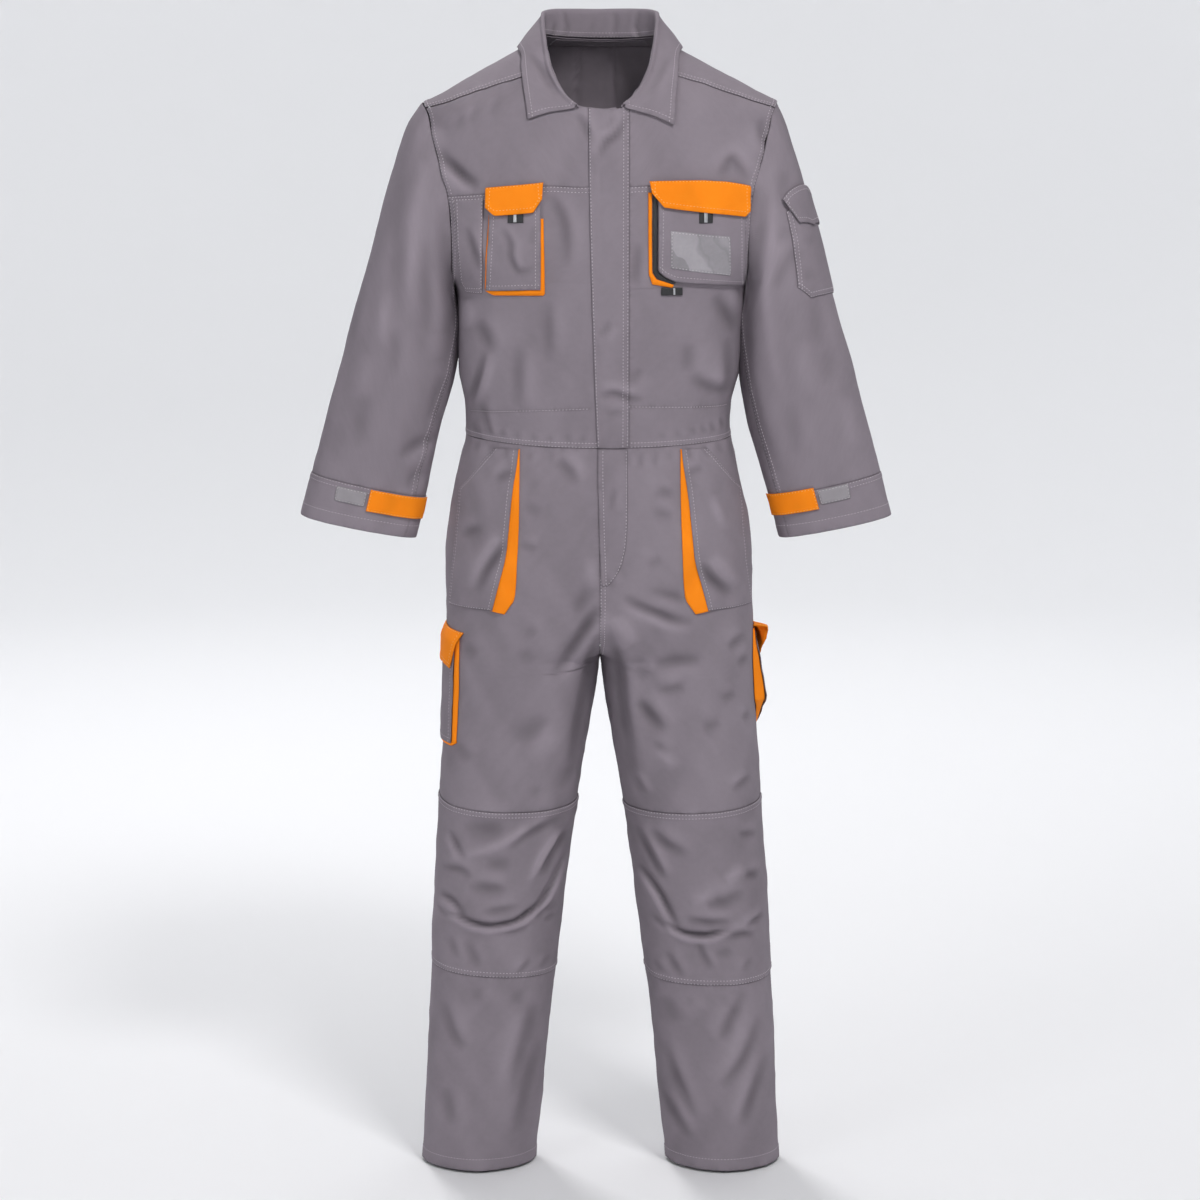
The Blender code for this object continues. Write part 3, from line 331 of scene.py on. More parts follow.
# folds of the front: width, depth of the trough, height of the ridge on its left,
# and where it runs in the studio camera's view, as "across,down" on a picture 1200 wide
folds = {
    "body": [
        (8, 5, 2.8, "478,188 462,177 450,167 437,155"), (8, -1.6, 0, "430,127 442,152"),
        (5, 1.2, 0.7, "455,131 462,114"), (5, 1.2, 0.7, "469,126 477,104"), (5, 1.0, 0.6, "491,116 499,96"),
        (8, 2.0, 1.0, "549,195 561,215 566,238 567,268"), (4.5, 2.4, 1.8, "576,114 585,127 590,142"),
        (4.5, 2.8, 1.8, "600,158 606,144 617,134 628,117"), (4, 1.8, 1.0, "607,131 615,116"),
        (6, 2.4, 1.2, "771,152 765,139 760,120"), (6, 2.2, 1.0, "719,179 726,169 733,161 741,170 751,182"),
        (8, 2.6, 0.8, "474,322 485,340 491,356"), (6, 3.6, 2.2, "484,354 476,383 467,406"),
        (10, -2.4, 0, "464,302 466,332"), (9, 1.8, 1.2, "518,345 517,414"),
        (9, 1.6, 1.0, "548,298 549,364"), (5, 1.8, 0.9, "480,403 487,437"),
        (9, 3.0, 1.8, "716,295 727,315 739,337"), (8, 1.8, 0.8, "690,343 687,374"),
        (7, 2.6, 1.2, "690,378 708,389 718,393 731,396"), (8, 2.2, 0.7, "729,400 731,372 728,340"),
        (5, 2.0, 1.2, "612,321 600,338"), (4.5, 2.6, 1.6, "601,396 614,394 628,398 643,400"),
        (5, 1.5, 0.8, "642,369 630,385"), (6, 1.8, 0.7, "640,243 635,285"),
        (4, 1.2, 0.8, "605,414 626,412"), (5, 2.2, 1.2, "501,228 510,242 511,258 519,272 533,267"),
        (5, 2.2, 1.2, "466,227 473,249 480,271"), (6, 1.6, 0.8, "534,225 532,245"),
    ],
    "thigh": [
        (9, 4.2, 2.8, "600,604 588,624 572,650 552,681"),
        (9, 3.2, 0, "599,632 592,652 587,685 580,722 575,750 570,786"),
        (12, 2.4, 1.2, "547,718 531,732 516,743"), (9, 2.0, 0.8, "519,649 533,663"),
        (8, 2.0, 0.6, "461,651 476,658"), (7, 1.6, 0.6, "526,629 537,635"),
        (8, 2.2, 1.0, "454,749 469,766"), (8, 1.6, 0.8, "541,790 531,802"),
        (9, 1.8, 0.6, "571,773 561,797"), (9, -1.8, 0, "592,556 592,588"), (8, 1.8, 0.8, "591,588 574,612"),
        (7, 3.4, 2.2, "693,622 675,619 657,612 640,605 622,596"), (6, 2.0, 1.0, "686,602 672,595 649,590"),
        (14, -3.2, 0, "612,616 621,631 631,647"),
        (9, 3.6, 1.6, "606,620 615,647 620,680 622,710 627,745 633,787"),
        (8, 2.4, 1.4, "702,660 677,661 653,665"), (8, 2.2, 1.0, "635,671 648,681"),
        (6, 2.2, 1.2, "655,692 673,690 685,686"), (8, 3.4, 1.8, "636,703 650,717 664,734"),
        (8, -2.4, 0, "659,753 676,771"), (6, 2.0, 1.0, "653,744 669,757"), (6, -2.2, 0, "639,778 651,799"),
        (6, 2.0, 0, "634,782 644,801"), (6, 3.4, 1.6, "728,651 747,641"), (6, 3.8, 1.8, "738,668 752,664"),
        (6, 2.4, 1.2, "723,703 737,696"), (9, 2.2, 1.0, "703,731 722,726"),
        (6, 3.2, 1.4, "743,726 752,721"), (5, 2.8, 1.8, "733,796 752,784"),
        (6, 3.0, 1.6, "495,483 513,471"), (7, 4.2, 2.8, "475,596 486,572 496,556 506,541"),
        (6, 2.4, 1.4, "460,539 482,529"), (5, 2.2, 1.2, "521,545 537,549"),
        (7, 2.6, 2.0, "556,459 568,470 577,484"), (5, 2.4, 1.2, "688,474 704,469"),
        (7, 4.8, 3.2, "701,564 714,581 731,597"), (6, -1.8, 0, "711,497 726,532"),
        (4, 1.8, 1.0, "615,485 611,511"), (6, 2.2, 1.0, "655,490 674,495"),
        (6, 1.8, 0.8, "653,511 673,517"), (7, 1.8, 0.8, "646,566 661,557"),
        (7, 1.8, 0.8, "524,503 541,514"), (5, 1.8, 1.0, "606,574 613,587"),
    ],
    "knee": [
        (4.2, 6.5, 3.6, "567,857 559,873 551,889 541,904 530,913 517,921 503,925 490,926 477,925 467,922 456,918 445,917"),
        (3.5, 1.8, 0.8, "447,921 434,912"), (4.5, 4.0, 2.2, "465,919 453,905 438,899"),
        (5, 2.4, 1.2, "440,873 460,872 471,880"), (4.5, 3.4, 1.8, "464,861 457,849 449,834"),
        (12, 2.2, 0.8, "464,831 490,828 505,831"), (8, -2.6, 0, "456,858 490,849 517,836 529,827"),
        (6, 2.6, 1.0, "510,849 525,837 543,828 564,820"), (9, 2.4, 0.8, "485,865 511,865"),
        (6, -3.4, 0, "529,883 543,860 560,834"), (5, 4.6, 2.2, "542,878 551,857 567,837"),
        (7, 2.4, 1.0, "467,889 490,888 505,892"), (5, 2.0, 1.0, "483,913 498,911 519,907"),
        (5, 1.8, 1.0, "488,934 511,932 529,929"), (5, 2.4, 1.2, "534,921 543,915 557,910"),
        (4, 3.4, 1.4, "545,927 555,920"), (6, 1.8, 0.8, "466,943 478,969"),
        (4, 2.0, 1.2, "516,978 531,963"), (4, 1.8, 1.0, "540,975 549,962"),
        (5, 1.6, 1.0, "450,940 456,962"), (5, 5.0, 2.8, "679,930 669,913 661,897 651,884 639,871"),
        (4.2, 6.0, 3.4, "731,930 717,934 707,936 691,935 677,931 665,924"),
        (3.5, 2.2, 0.8, "669,932 652,920"), (5, 2.8, 1.2, "686,920 707,923 733,924"),
        (9, 3.0, 1.2, "705,906 723,903 746,896"), (6, 3.6, 2.6, "636,831 651,857 664,881"),
        (7, 2.6, 1.2, "650,832 664,844 687,856"), (5, 3.4, 1.6, "739,837 758,840"),
        (6, 4.8, 2.2, "745,878 760,882"), (7, -3.0, 0, "726,882 746,870"), (10, -2.4, 0, "690,903 715,895"),
        (4.2, 4.6, 2.4, "746,930 765,922"), (5, 3.4, 1.6, "723,941 741,937 757,939"),
        (4.5, 2.6, 1.4, "698,943 704,956 712,971"), (5, 2.2, 1.2, "666,954 684,982"),
        (7, 2.2, 0.8, "715,957 733,952"), (4, 1.8, 1.0, "744,975 751,962"),
        (4, 1.8, 1.0, "655,965 662,978"),
    ],
    "shin": [
        (9, 2.4, 1.2, "441,1005 453,1036 465,1050"), (10, 2.6, 1.4, "511,1102 517,1073 527,1036 536,1007"),
        (10, 2.2, 1.2, "516,1138 527,1087 539,1045"), (8, 1.8, 0.8, "445,1090 452,1130"),
        (12, 2.4, 1.0, "663,999 676,1027"), (8, 2.4, 1.2, "663,1045 677,1081 694,1121"),
        (8, 2.4, 1.2, "663,1098 688,1142"), (9, 2.6, 1.4, "722,1043 731,1020 745,991"),
        (9, 2.8, 1.6, "722,1089 744,1060 761,1018"), (9, 2.8, 1.6, "743,1129 752,1100 769,1058"),
        (7, 1.4, 0.8, "478,988 477,1003"), (7, 1.4, 0.8, "520,990 517,1006"),
        (7, 1.4, 0.8, "690,996 688,1008"), (7, 1.4, 0.8, "726,993 724,1008"),
    ],
    "arm": [
        (9, 5.5, 0, "447,200 445,240 450,275 452,310 450,345 446,372"),
        (9, -3.0, 0, "425,158 417,207 412,245 410,322"), (9, 3.0, 0.8, "402,173 397,220 397,270 400,322"),
        (7, -2.0, 0, "382,288 382,347"), (7, 2.2, 0.6, "395,326 394,382"), (8, 2.6, 0.6, "425,238 426,332"),
        (7, -1.8, 0, "437,268 438,342"), (8, 2.0, 0.6, "352,298 345,342"), (8, -2.0, 0, "366,353 360,402"),
        (9, 2.4, 0.8, "364,393 357,452"), (8, 1.8, 0.6, "337,423 333,467"),
        (5, 5.2, 3.0, "436,438 422,445 411,450 399,461"), (5, 4.6, 2.0, "423,473 413,481 408,493"),
        (7, 3.0, 1.0, "445,378 436,400 429,428"), (10, -2.4, 0, "438,333 440,360"),
        (9, 5.5, 0, "762,183 765,210 757,245 752,282 747,310 746,350 746,387 752,412 764,448 775,480"),
        (7, -3.0, 0, "766,178 773,200 770,225 769,255 765,285 766,310 771,345 779,392"),
        (6, 2.4, 1.0, "784,170 780,207"), (6, 2.4, 1.2, "787,225 777,248"),
        (6, 3.0, 1.8, "774,289 783,268 797,245"), (9, 2.4, 0.8, "812,298 819,350"),
        (9, 2.2, 0.8, "827,348 831,388"), (9, -1.8, 0, "848,398 856,452"), (9, 2.0, 0.8, "790,400 797,460"),
        (10, -2.0, 0, "800,340 808,400"), (5, 1.8, 0.8, "803,243 816,239"),
        (5, 1.8, 0.8, "801,277 815,272"),
    ],
}
# the little puckers above and below the waist seam: both ends in the same view, and the depth
waistPuckers = {
    "body": [
        (692, 429, 696, 439, 1.8), (701, 427, 706, 438, 2.2), (711, 425, 716, 437, 2.4),
        (721, 422, 726, 435, 2.6), (730, 420, 733, 433, 2.4), (677, 431, 679, 440, 1.4),
        (662, 432, 664, 441, 1.2), (487, 430, 490, 441, 1.4), (500, 431, 503, 443, 1.3),
        (516, 433, 517, 444, 1.2), (533, 434, 535, 445, 1.3), (550, 435, 551, 446, 1.2),
        (567, 434, 570, 446, 1.4), (582, 433, 584, 446, 1.2), (470, 428, 476, 439, 1.6),
    ],
    "thigh": [
        (478, 445, 474, 456, 1.5), (492, 448, 489, 459, 1.4), (507, 450, 505, 462, 1.5),
        (530, 452, 529, 463, 1.2), (552, 452, 551, 464, 1.2), (628, 452, 627, 466, 1.3),
        (642, 452, 640, 470, 1.6), (656, 451, 655, 466, 1.2), (688, 449, 692, 461, 1.5),
        (704, 447, 709, 459, 1.5), (718, 446, 724, 458, 1.4), (671, 450, 671, 462, 1.2),
    ],
}
# folds of the hidden sides and the collar, in millimetres: face, width, depth, ridge, and (across, height)
hiddenFolds = {
    "body": [
        (1, 3.5, -3.0, -0.8, [(-34, -4), (-34, -60), (-36, -130)]),
        (1, 3.0, -2.2, -0.6, [(19, -4), (19, -60), (20, -130)]),
        (1, 8, 4.2, 2.4, [(-214, -150), (-190, -172), (-166, -190)]),
        (1, 8, 3.8, 2.2, [(214, -160), (192, -186), (160, -205)]),
        (1, 9, 2.4, 1.4, [(-70, -190), (-58, -230), (-56, -280)]),
        (1, 9, 2.0, 1.2, [(86, -200), (78, -250), (80, -300)]),
        (1, 8, 3.4, 2.0, [(-120, -420), (-145, -436), (-176, -440)]),
        (1, 8, 3.8, 2.2, [(112, -400), (140, -420), (172, -430)]),
        (1, 10, 2.4, 1.4, [(-60, -380), (-64, -450), (-60, -520)]),
        (1, 10, 2.2, 1.2, [(48, -360), (52, -440), (48, -510)]),
        (1, 6, 2.4, 1.2, [(-30, -470), (10, -476), (46, -470)]),
        (1, 7, 3.0, 1.6, [(-110, -500), (-132, -524), (-150, -548)]),
        (1, 7, 3.0, 1.6, [(104, -496), (130, -520), (150, -546)]),
        (1, 6, 1.6, 0.8, [(-120, -300), (-112, -360)]), (1, 6, 1.6, 0.8, [(136, -290), (130, -350)]),
        (1, 1.8, 3.2, 0.0, [(-34, -10), (-34, -98)]), (1, 1.6, 1.6, -0.5, [(22, -10), (21, -98)]),
    ],
    "leg": [
        (1, 8, 3.6, 2.0, [(-20, -780), (-70, -812), (-130, -828)]),
        (1, 8, 3.6, 2.0, [(20, -786), (74, -820), (136, -832)]),
        (1, 9, 4.0, 2.4, [(-30, -862), (-84, -900), (-150, -918)]),
        (1, 9, 4.0, 2.4, [(30, -870), (90, -908), (156, -922)]),
        (1, 9, 3.0, 1.6, [(-40, -900), (-70, -970), (-110, -1040)]),
        (1, 9, 3.0, 1.6, [(42, -905), (76, -980), (120, -1046)]),
        (1, 8, 2.4, 1.4, [(-120, -600), (-160, -650), (-178, -720)]),
        (1, 8, 2.4, 1.4, [(118, -604), (156, -660), (172, -726)]),
        (1, 4.5, 5.6, 3.0, [(-76, -1150), (-108, -1186), (-150, -1202), (-200, -1196), (-232, -1180)]),
        (1, 4.5, 5.2, 3.0, [(240, -1190), (206, -1206), (160, -1212), (116, -1196), (84, -1160)]),
        (1, 6, 4.2, 2.4, [(-90, -1230), (-130, -1248), (-180, -1244)]),
        (1, 6, 4.2, 2.4, [(190, -1256), (140, -1260), (98, -1240)]),
        (1, 6, 3.4, 2.0, [(-110, -1120), (-150, -1142), (-196, -1140)]),
        (1, 6, 3.4, 2.0, [(200, -1150), (160, -1154), (112, -1128)]),
        (1, 8, 2.6, 1.4, [(-100, -1290), (-128, -1360), (-132, -1430)]),
        (1, 8, 2.6, 1.4, [(104, -1300), (134, -1370), (140, -1440)]),
        (1, 9, 2.4, 1.4, [(-230, -1320), (-214, -1400), (-212, -1470)]),
        (1, 9, 2.4, 1.4, [(232, -1330), (214, -1410), (214, -1480)]),
    ],
    "arm": [
        (1, 9, 5.0, 0, [(-222, -150), (-218, -220), (-214, -300), (-212, -380)]),
        (1, 9, 5.0, 0, [(222, -150), (216, -220), (212, -300), (210, -390)]),
        (1, 8, 3.0, 1.4, [(-262, -180), (-270, -250), (-268, -330)]),
        (1, 8, 3.0, 1.4, [(260, -170), (264, -250), (262, -340)]),
        (1, 9, -2.6, 0, [(-292, -190), (-302, -280), (-312, -370)]),
        (1, 9, -2.6, 0, [(286, -200), (300, -290), (306, -380)]),
        (1, 5.5, 4.6, 2.6, [(-236, -420), (-262, -432), (-300, -430), (-334, -414)]),
        (1, 5.5, 4.6, 2.6, [(326, -410), (296, -430), (262, -436), (238, -424)]),
        (1, 5.5, 4.0, 2.2, [(-240, -462), (-276, -472), (-320, -462)]),
        (1, 5.5, 4.0, 2.2, [(316, -470), (276, -478), (244, -468)]),
        (1, 8, 2.6, 1.4, [(-300, -480), (-322, -540), (-340, -596)]),
        (1, 8, 2.6, 1.4, [(292, -490), (312, -546), (330, -596)]),
        (1, 8, 2.2, 1.2, [(-340, -300), (-352, -360), (-362, -420)]),
        (1, 8, 2.2, 1.2, [(330, -310), (340, -370), (350, -430)]),
    ],
    "collar": [
        (-1, 5, 3.0, 1.2, [(-97, -24), (-79, -46), (-57, -82)]),
        (-1, 5, 1.6, 0.9, [(96, -26), (84, -48), (66, -80)]),
        (-1, 3.2, 2.6, 1.0, [(-50, -6), (-45, 12), (-50, 36)]),
        (-1, 3.2, 2.4, 1.2, [(18, -2), (22, 16), (21, 36)]),
        (-1, 3, 2.4, 1.0, [(60, -8), (50, 10), (56, 34)]), (-1, 3, 1.8, 0.8, [(-66, -14), (-62, 20)]),
        (-1, 3, 1.2, 0.5, [(-14, 0), (-8, 24)]), (1, 4, 1.4, 0.7, [(-70, -2), (-62, -26)]),
        (1, 4, 1.2, 0.6, [(30, 8), (38, -24)]),
    ],
}
foldRules = {
    # the surface's distance in front of the middle, what widths and depths are multiplied by
    "body": (125, 1, 1), "thigh": (115, 1, 1), "knee": (90, 1, 1), "shin": (80, 1, 1), "arm": (75, 1.4, 0.5),
    "depthScale": 1.8, "depthPower": 0.85, "ridgeShare": 0.9, "puckerWidth": 3.6, "puckerRidge": 0.6,
    # a short fold is wider and shallower than a long one
    "shortLength": 70, "shortWide": 1.15, "longWide": 0.92, "shortDepth": 0.45, "fullLength": 110,
}


def seenPlace(across, down, ahead):
    # where the camera's line through a place in its view meets the upright plane that far ahead, in millimetres
    tilt, focal = np.radians(studio["cameraTilt"]), studio["lens"] / 36 * 1200
    right, up = (across - 600) / focal, (600 - down) / focal
    forward, rise = np.cos(tilt) + up * np.sin(tilt), up * np.cos(tilt) - np.sin(tilt)
    reach = (studio["cameraBack"] / mm - ahead) / forward
    return round(reach * right), round(reach * rise)


def foldRow(part, width, depth, ridge, spots):
    ahead, wide, deep = foldRules[part]
    path = [seenPlace(*spot, ahead) for spot in spots]
    length = sum(np.hypot(b[0] - a[0], b[1] - a[1]) for a, b in zip(path, path[1:]))
    wide *= foldRules["longWide"] if length > foldRules["shortLength"] else foldRules["shortWide"]
    deep *= foldRules["depthScale"] * min(1, foldRules["shortDepth"] + length / foldRules["fullLength"])
    depth, ridge = (np.sign(size) * abs(size) ** foldRules["depthPower"] * deep for size in (depth, ridge))
    return -1, width * wide, depth, ridge * foldRules["ridgeShare"], path


def foldsOf(part):
    rows = [foldRow(part, width, depth, ridge, [tuple(map(float, spot.split(","))) for spot in run.split()])
            for width, depth, ridge, run in folds[part]]
    width, share = foldRules["puckerWidth"], foldRules["puckerRidge"]
    return rows + [foldRow(part, width, depth, depth * share, [(a, b), (c, d)])
                   for a, b, c, d, depth in waistPuckers.get(part, [])]


creases = {
    "body": foldsOf("body") + hiddenFolds["body"],
    "leg": foldsOf("thigh") + foldsOf("knee") + foldsOf("shin") + hiddenFolds["leg"],
    "arm": foldsOf("arm") + hiddenFolds["arm"], "collar": hiddenFolds["collar"],
}


def softNoise(points, size, seed):
    # smooth random hills and hollows from -1 to 1
    lattice = np.random.default_rng(seed).uniform(-1, 1, (32, 32, 32))
    place = points / np.array(size, float)
    cell = np.floor(place).astype(int)
    t = place - cell
    t = t * t * (3 - 2 * t)
    total = np.zeros(points.shape[:-1])
    for corner in np.ndindex(2, 2, 2):
        at = (cell + corner) % 32
        weight = np.prod(np.where(np.array(corner) == 1, t, 1 - t), axis=-1)
        total += weight * lattice[at[..., 0], at[..., 1], at[..., 2]]
    return total


def smoothPath(path, finer):
    path = np.array(path, float)
    keys = np.arange(len(path))
    at = np.linspace(0, len(path) - 1, (len(path) - 1) * finer + 1)
    return smoothCurve(keys, path, at) if len(path) > 2 else np.stack([np.interp(at, keys, c) for c in path.T], -1)


def creaseHeight(rows, points, normals):
    x, z, facing = points[..., 0], points[..., 2], normals[..., 1]
    height = np.zeros(x.shape)
    for face, width, depth, ridge, path in rows:
        line = smoothPath(path, 8)
        reach = 5 * width
        near = (x > line[:, 0].min() - reach) & (x < line[:, 0].max() + reach) & (face * facing > 0)
        near &= (z > line[:, 1].min() - reach) & (z < line[:, 1].max() + reach)
        if not near.any():
            continue
        start, step = line[:-1], np.diff(line, axis=0)
        off = np.stack([x[near], z[near]], -1)[:, None] - start
        t = np.clip((off * step).sum(-1) / (step**2).sum(-1), 0, 1)
        off -= t[..., None] * step
        k = np.linalg.norm(off, axis=-1).argmin(1)
        row = np.arange(len(k))
        along = (k + t[row, k]) / len(start)
        gap = off[row, k]
        away = np.linalg.norm(gap, axis=-1) * np.sign(step[k, 0] * gap[:, 1] - step[k, 1] * gap[:, 0])
        profile = ridge * np.exp(-(((away - 1.9 * width) / (1.5 * width)) ** 2)) - depth * np.exp(-((away / width) ** 2))
        fade = np.sin(np.pi * np.clip(along, 0.001, 0.999)) ** 0.7
        height[near] += profile * fade * np.clip(2 * face * facing[near], 0, 1)
    return height


surfaces = {"body": bodyPoint, "leg": legPoint, "arm": sleevePoint}


def relief(kind, points, normals, broad=1.0):
    # the creases and the hills; the broad hills of the first row may count for less
    height = creaseHeight(creases[kind], points, normals)
    for seed, (size, lean, tall) in enumerate(drape[kind]):
        x, y, z = np.moveaxis(points, -1, 0)
        leaning = np.stack([x + np.sign(x) * lean * z, y, z], -1)
        height += tall * softNoise(leaning, size, 11 + seed) * (1.0 if seed else broad)
    return height


def onSurface(place, a, b):
    # points and outward normals; the "Front" places take across and height, the others turn and height
    kind, side = place
    a, b = np.asarray(a, float), np.asarray(b, float)
    if kind == "bodyFront":
        kind, side, a = "body", 1, bodyTurn(1, a, b)
    elif kind == "legFront":
        kind, a = "leg", legTurn(side, a, b)
    point = surfaces[kind]
    across = point(side, a + 0.4, b) - point(side, a - 0.4, b)
    up = point(side, a, b + 0.6) - point(side, a, b - 0.6)
    normals = side * np.cross(across, up)
    normals /= np.linalg.norm(normals, axis=-1, keepdims=True)
    points = point(side, a, b)
    return points + normals * relief(kind, points, normals)[..., None], normals


# shader maths

class Wire:
    def __init__(self, tree, socket=None):
        self.tree, self.socket = tree, socket

    def node(self, kind, settings=None, sockets=None, out=0):
        made = self.tree.nodes.new(kind)
        for key, value in (settings or {}).items():
            if key == "stops":
                for stop, (at, colour) in zip(made.color_ramp.elements, value):
                    stop.position, stop.color = at, (*colour, 1)
            else:
                setattr(made, key, value)
        for key, value in (sockets or {}).items():
            if isinstance(value, Wire):
                self.tree.links.new(value.socket, made.inputs[key])
            else:
                made.inputs[key].default_value = value
        return Wire(self.tree, made.outputs[out])

    def math(self, operation, *values):
        return self.node("ShaderNodeMath", {"operation": operation}, dict(enumerate((self, *values))))

    def __add__(self, other):
        return self.math("ADD", other)

    def __sub__(self, other):
        return self.math("SUBTRACT", other)

    def __rsub__(self, other):
        return self.node("ShaderNodeMath", {"operation": "SUBTRACT"}, {0: other, 1: self})

    def __mul__(self, other):
        return self.math("MULTIPLY", other)

    __radd__, __rmul__ = __add__, __mul__

    def scaled(self, factor):
        # a colour made lighter or darker
        return self.node("ShaderNodeVectorMath", {"operation": "SCALE"}, {0: self, 3: factor})

    def noise(self, scale, detail=2.0):
        return self.node("ShaderNodeTexNoise", {}, {"Vector": self, "Scale": scale, "Detail": detail})

    def between(self, low, high):
        # a colour between two, with this wire as the share of the second
        colours = {6: low, 7: high}
        colours = {key: value if isinstance(value, Wire) else (*value, 1) for key, value in colours.items()}
        return self.node("ShaderNodeMix", {"data_type": "RGBA"}, {0: self, **colours}, 2)

    def into(self, shader, socket):
        self.tree.links.new(self.socket, shader.inputs[socket])


def newLook(name, **fixed):
    look = bpy.data.materials.new(name)
    look.use_nodes = True
    shader = look.node_tree.nodes["Principled BSDF"]
    for socket, value in fixed.items():
        shader.inputs[socket.replace("_", " ")].default_value = value
    return look, shader, Wire(look.node_tree)


twill = {
    "rib": 1.0, "ribHeight": 0.05, "fuzz": 0.05, "pucker": 0.9, "puckerReach": 12.0, "puckerLong": 5.0,
    # painted shade: how much a millimetre of trough darkens the cloth's colour (a ridge lightens it), how much a seam's
    # line darkens it, and how far the line reaches; the last number paints light and shade on the puckers
    "paintedFoldShade": 0.085, "paintedShadeRange": (0.52, 1.22), "paintedSeamShade": 0.22, "seamReach": 1.2, "paintedPuckerShade": 0.4,
    "greyDark": (0.221, 0.191, 0.219), "greyLight": (0.291, 0.256, 0.290), "greyRoughness": 0.86,
    "orangeDark": (1.0, 0.225, 0.004), "orangeLight": (1.0, 0.31, 0.018), "orangeRoughness": 0.78,
    "loopDark": (0.25, 0.235, 0.252), "loopLight": (0.36, 0.34, 0.36),
}


def twillLook(name, dark, light, roughness, pucker=1.0, rib=1.0):
    # a fine diagonal weave in the cloth's own flat coordinates, with small puckers beside its seams; its colour carries
    # painted shade from the creases, hills, puckers and seam lines
    look, shader, start = newLook(name, Roughness=roughness, Specular_IOR_Level=0.1)
    flat = start.node("ShaderNodeUVMap", {"uv_map": "flat"})
    parts = start.node("ShaderNodeSeparateXYZ", {}, {0: flat})
    down = Wire(start.tree, parts.socket.node.outputs[1])
    edge = start.node("ShaderNodeAttribute", {"attribute_name": "edge"}, out="Fac")
    run = start.node("ShaderNodeAttribute", {"attribute_name": "run"}, out="Fac")
    # the fold attribute is painted shade: lower in troughs, higher on ridges
    fold = start.node("ShaderNodeAttribute", {"attribute_name": "fold"}, out="Fac")
    space = start.node("ShaderNodeTexCoord", out="Object")
    ribs = ((parts * 0.5 + down * 0.87) * (2 * np.pi / (twill["rib"] * mm))).math("SINE")
    fade = (1 - edge * (1 / twill["puckerReach"])).math("MAXIMUM", 0.0)
    along = start.node("ShaderNodeCombineXYZ", {}, {0: run * (1 / twill["puckerLong"]), 1: edge * 0.07})
    ripple = (along.noise(1.0, 2) - 0.5) * fade * fade * (twill["pucker"] * pucker)
    fuzz = flat.noise(1300, 3)
    height = ripple + ribs * (twill["ribHeight"] * rib) + fuzz * twill["fuzz"]
    bump = start.node("ShaderNodeBump", {}, {"Strength": 1.0, "Distance": mm, "Height": height}, "Normal")
    tone = space.noise(6, 3) * 0.45 + flat.noise(110, 4) * 0.35 + fuzz * 0.2 + ribs * (0.05 * rib)
    low, high = twill["paintedShadeRange"]
    # painted shade: darker in the troughs of the creases and hills, lighter on their ridges and on turned bands
    shade = (fold * twill["paintedFoldShade"] + 1).math("MAXIMUM", low).math("MINIMUM", high)
    # painted shade: a dark line along each seam, where its valley lies in shade
    line = (edge * (-1 / twill["seamReach"])).math("EXPONENT") * twill["paintedSeamShade"]
    # painted light and shade on the puckers beside the seams, less the painted seam line
    shade = shade + ripple * twill["paintedPuckerShade"] - line
    tone.between(dark, light).scaled(shade).into(shader, "Base Color")
    bump.into(shader, "Normal")
    return look


def plainLook(name, dark, light, roughness, grain, bumpHeight, **fixed):
    look, shader, start = newLook(name, Roughness=roughness, **fixed)
    space = start.node("ShaderNodeTexCoord", out="Object")
    speck = space.noise(grain, 3)
    bump = start.node("ShaderNodeBump", {}, {"Strength": 1.0, "Distance": mm, "Height": speck * bumpHeight}, "Normal")
    speck.between(dark, light).into(shader, "Base Color")
    bump.into(shader, "Normal")
    return look


def filmLook():
    # a clear soft film, dulled by fine scratches; the broad angular gleams of its slack are painted reflections,
    # lighter cells in its colour
    look, shader, start = newLook("clearFilm", Roughness=0.2, Coat_Weight=0.4)
    space = start.node("ShaderNodeTexCoord", out="Object")
    waves, haze = space.noise(26, 2), space.noise(240, 4)
    paintedGleams = start.node("ShaderNodeTexVoronoi", {"feature": "SMOOTH_F1"},
                        {"Vector": space + waves * 0.02, "Scale": 46.0, "Smoothness": 0.12}, "Color")
    bump = start.node("ShaderNodeBump", {}, {"Strength": 1.0, "Distance": mm, "Height": waves * 2.0}, "Normal")
    # painted reflection: the lighter cells of the colour stand in for gleams
    (haze * 0.2 + paintedGleams).between((0.20, 0.19, 0.205), (0.60, 0.57, 0.61)).into(shader, "Base Color")
    (waves * 0.25 + 0.5).into(shader, "Alpha")
    bump.into(shader, "Normal")
    return look


looks = {
    "grey": twillLook("greyTwill", twill["greyDark"], twill["greyLight"], twill["greyRoughness"]),
    "orange": twillLook("orangeTwill", twill["orangeDark"], twill["orangeLight"], twill["orangeRoughness"], 0.6),
    "loop": twillLook("loopTape", twill["loopDark"], twill["loopLight"], 0.95, 0.2, 0.3),
    "black": plainLook("blackTape", (0.012, 0.012, 0.013), (0.035, 0.035, 0.038), 0.55, 900, 0.12),
    "silver": plainLook("silverEnd", (0.55, 0.56, 0.58), (0.70, 0.71, 0.73), 0.34, 300, 0.05, Metallic=0.85),
    "film": filmLook(),
    "greyThread": plainLook("greyThread", (0.46, 0.42, 0.455), (0.62, 0.58, 0.61), 0.7, 1500, 0.05),
    "orangeThread": plainLook("orangeThread", (1.0, 0.48, 0.12), (1.0, 0.60, 0.22), 0.7, 1500, 0.05),
}
print("materials ready:", len(looks))


# making a piece of cloth

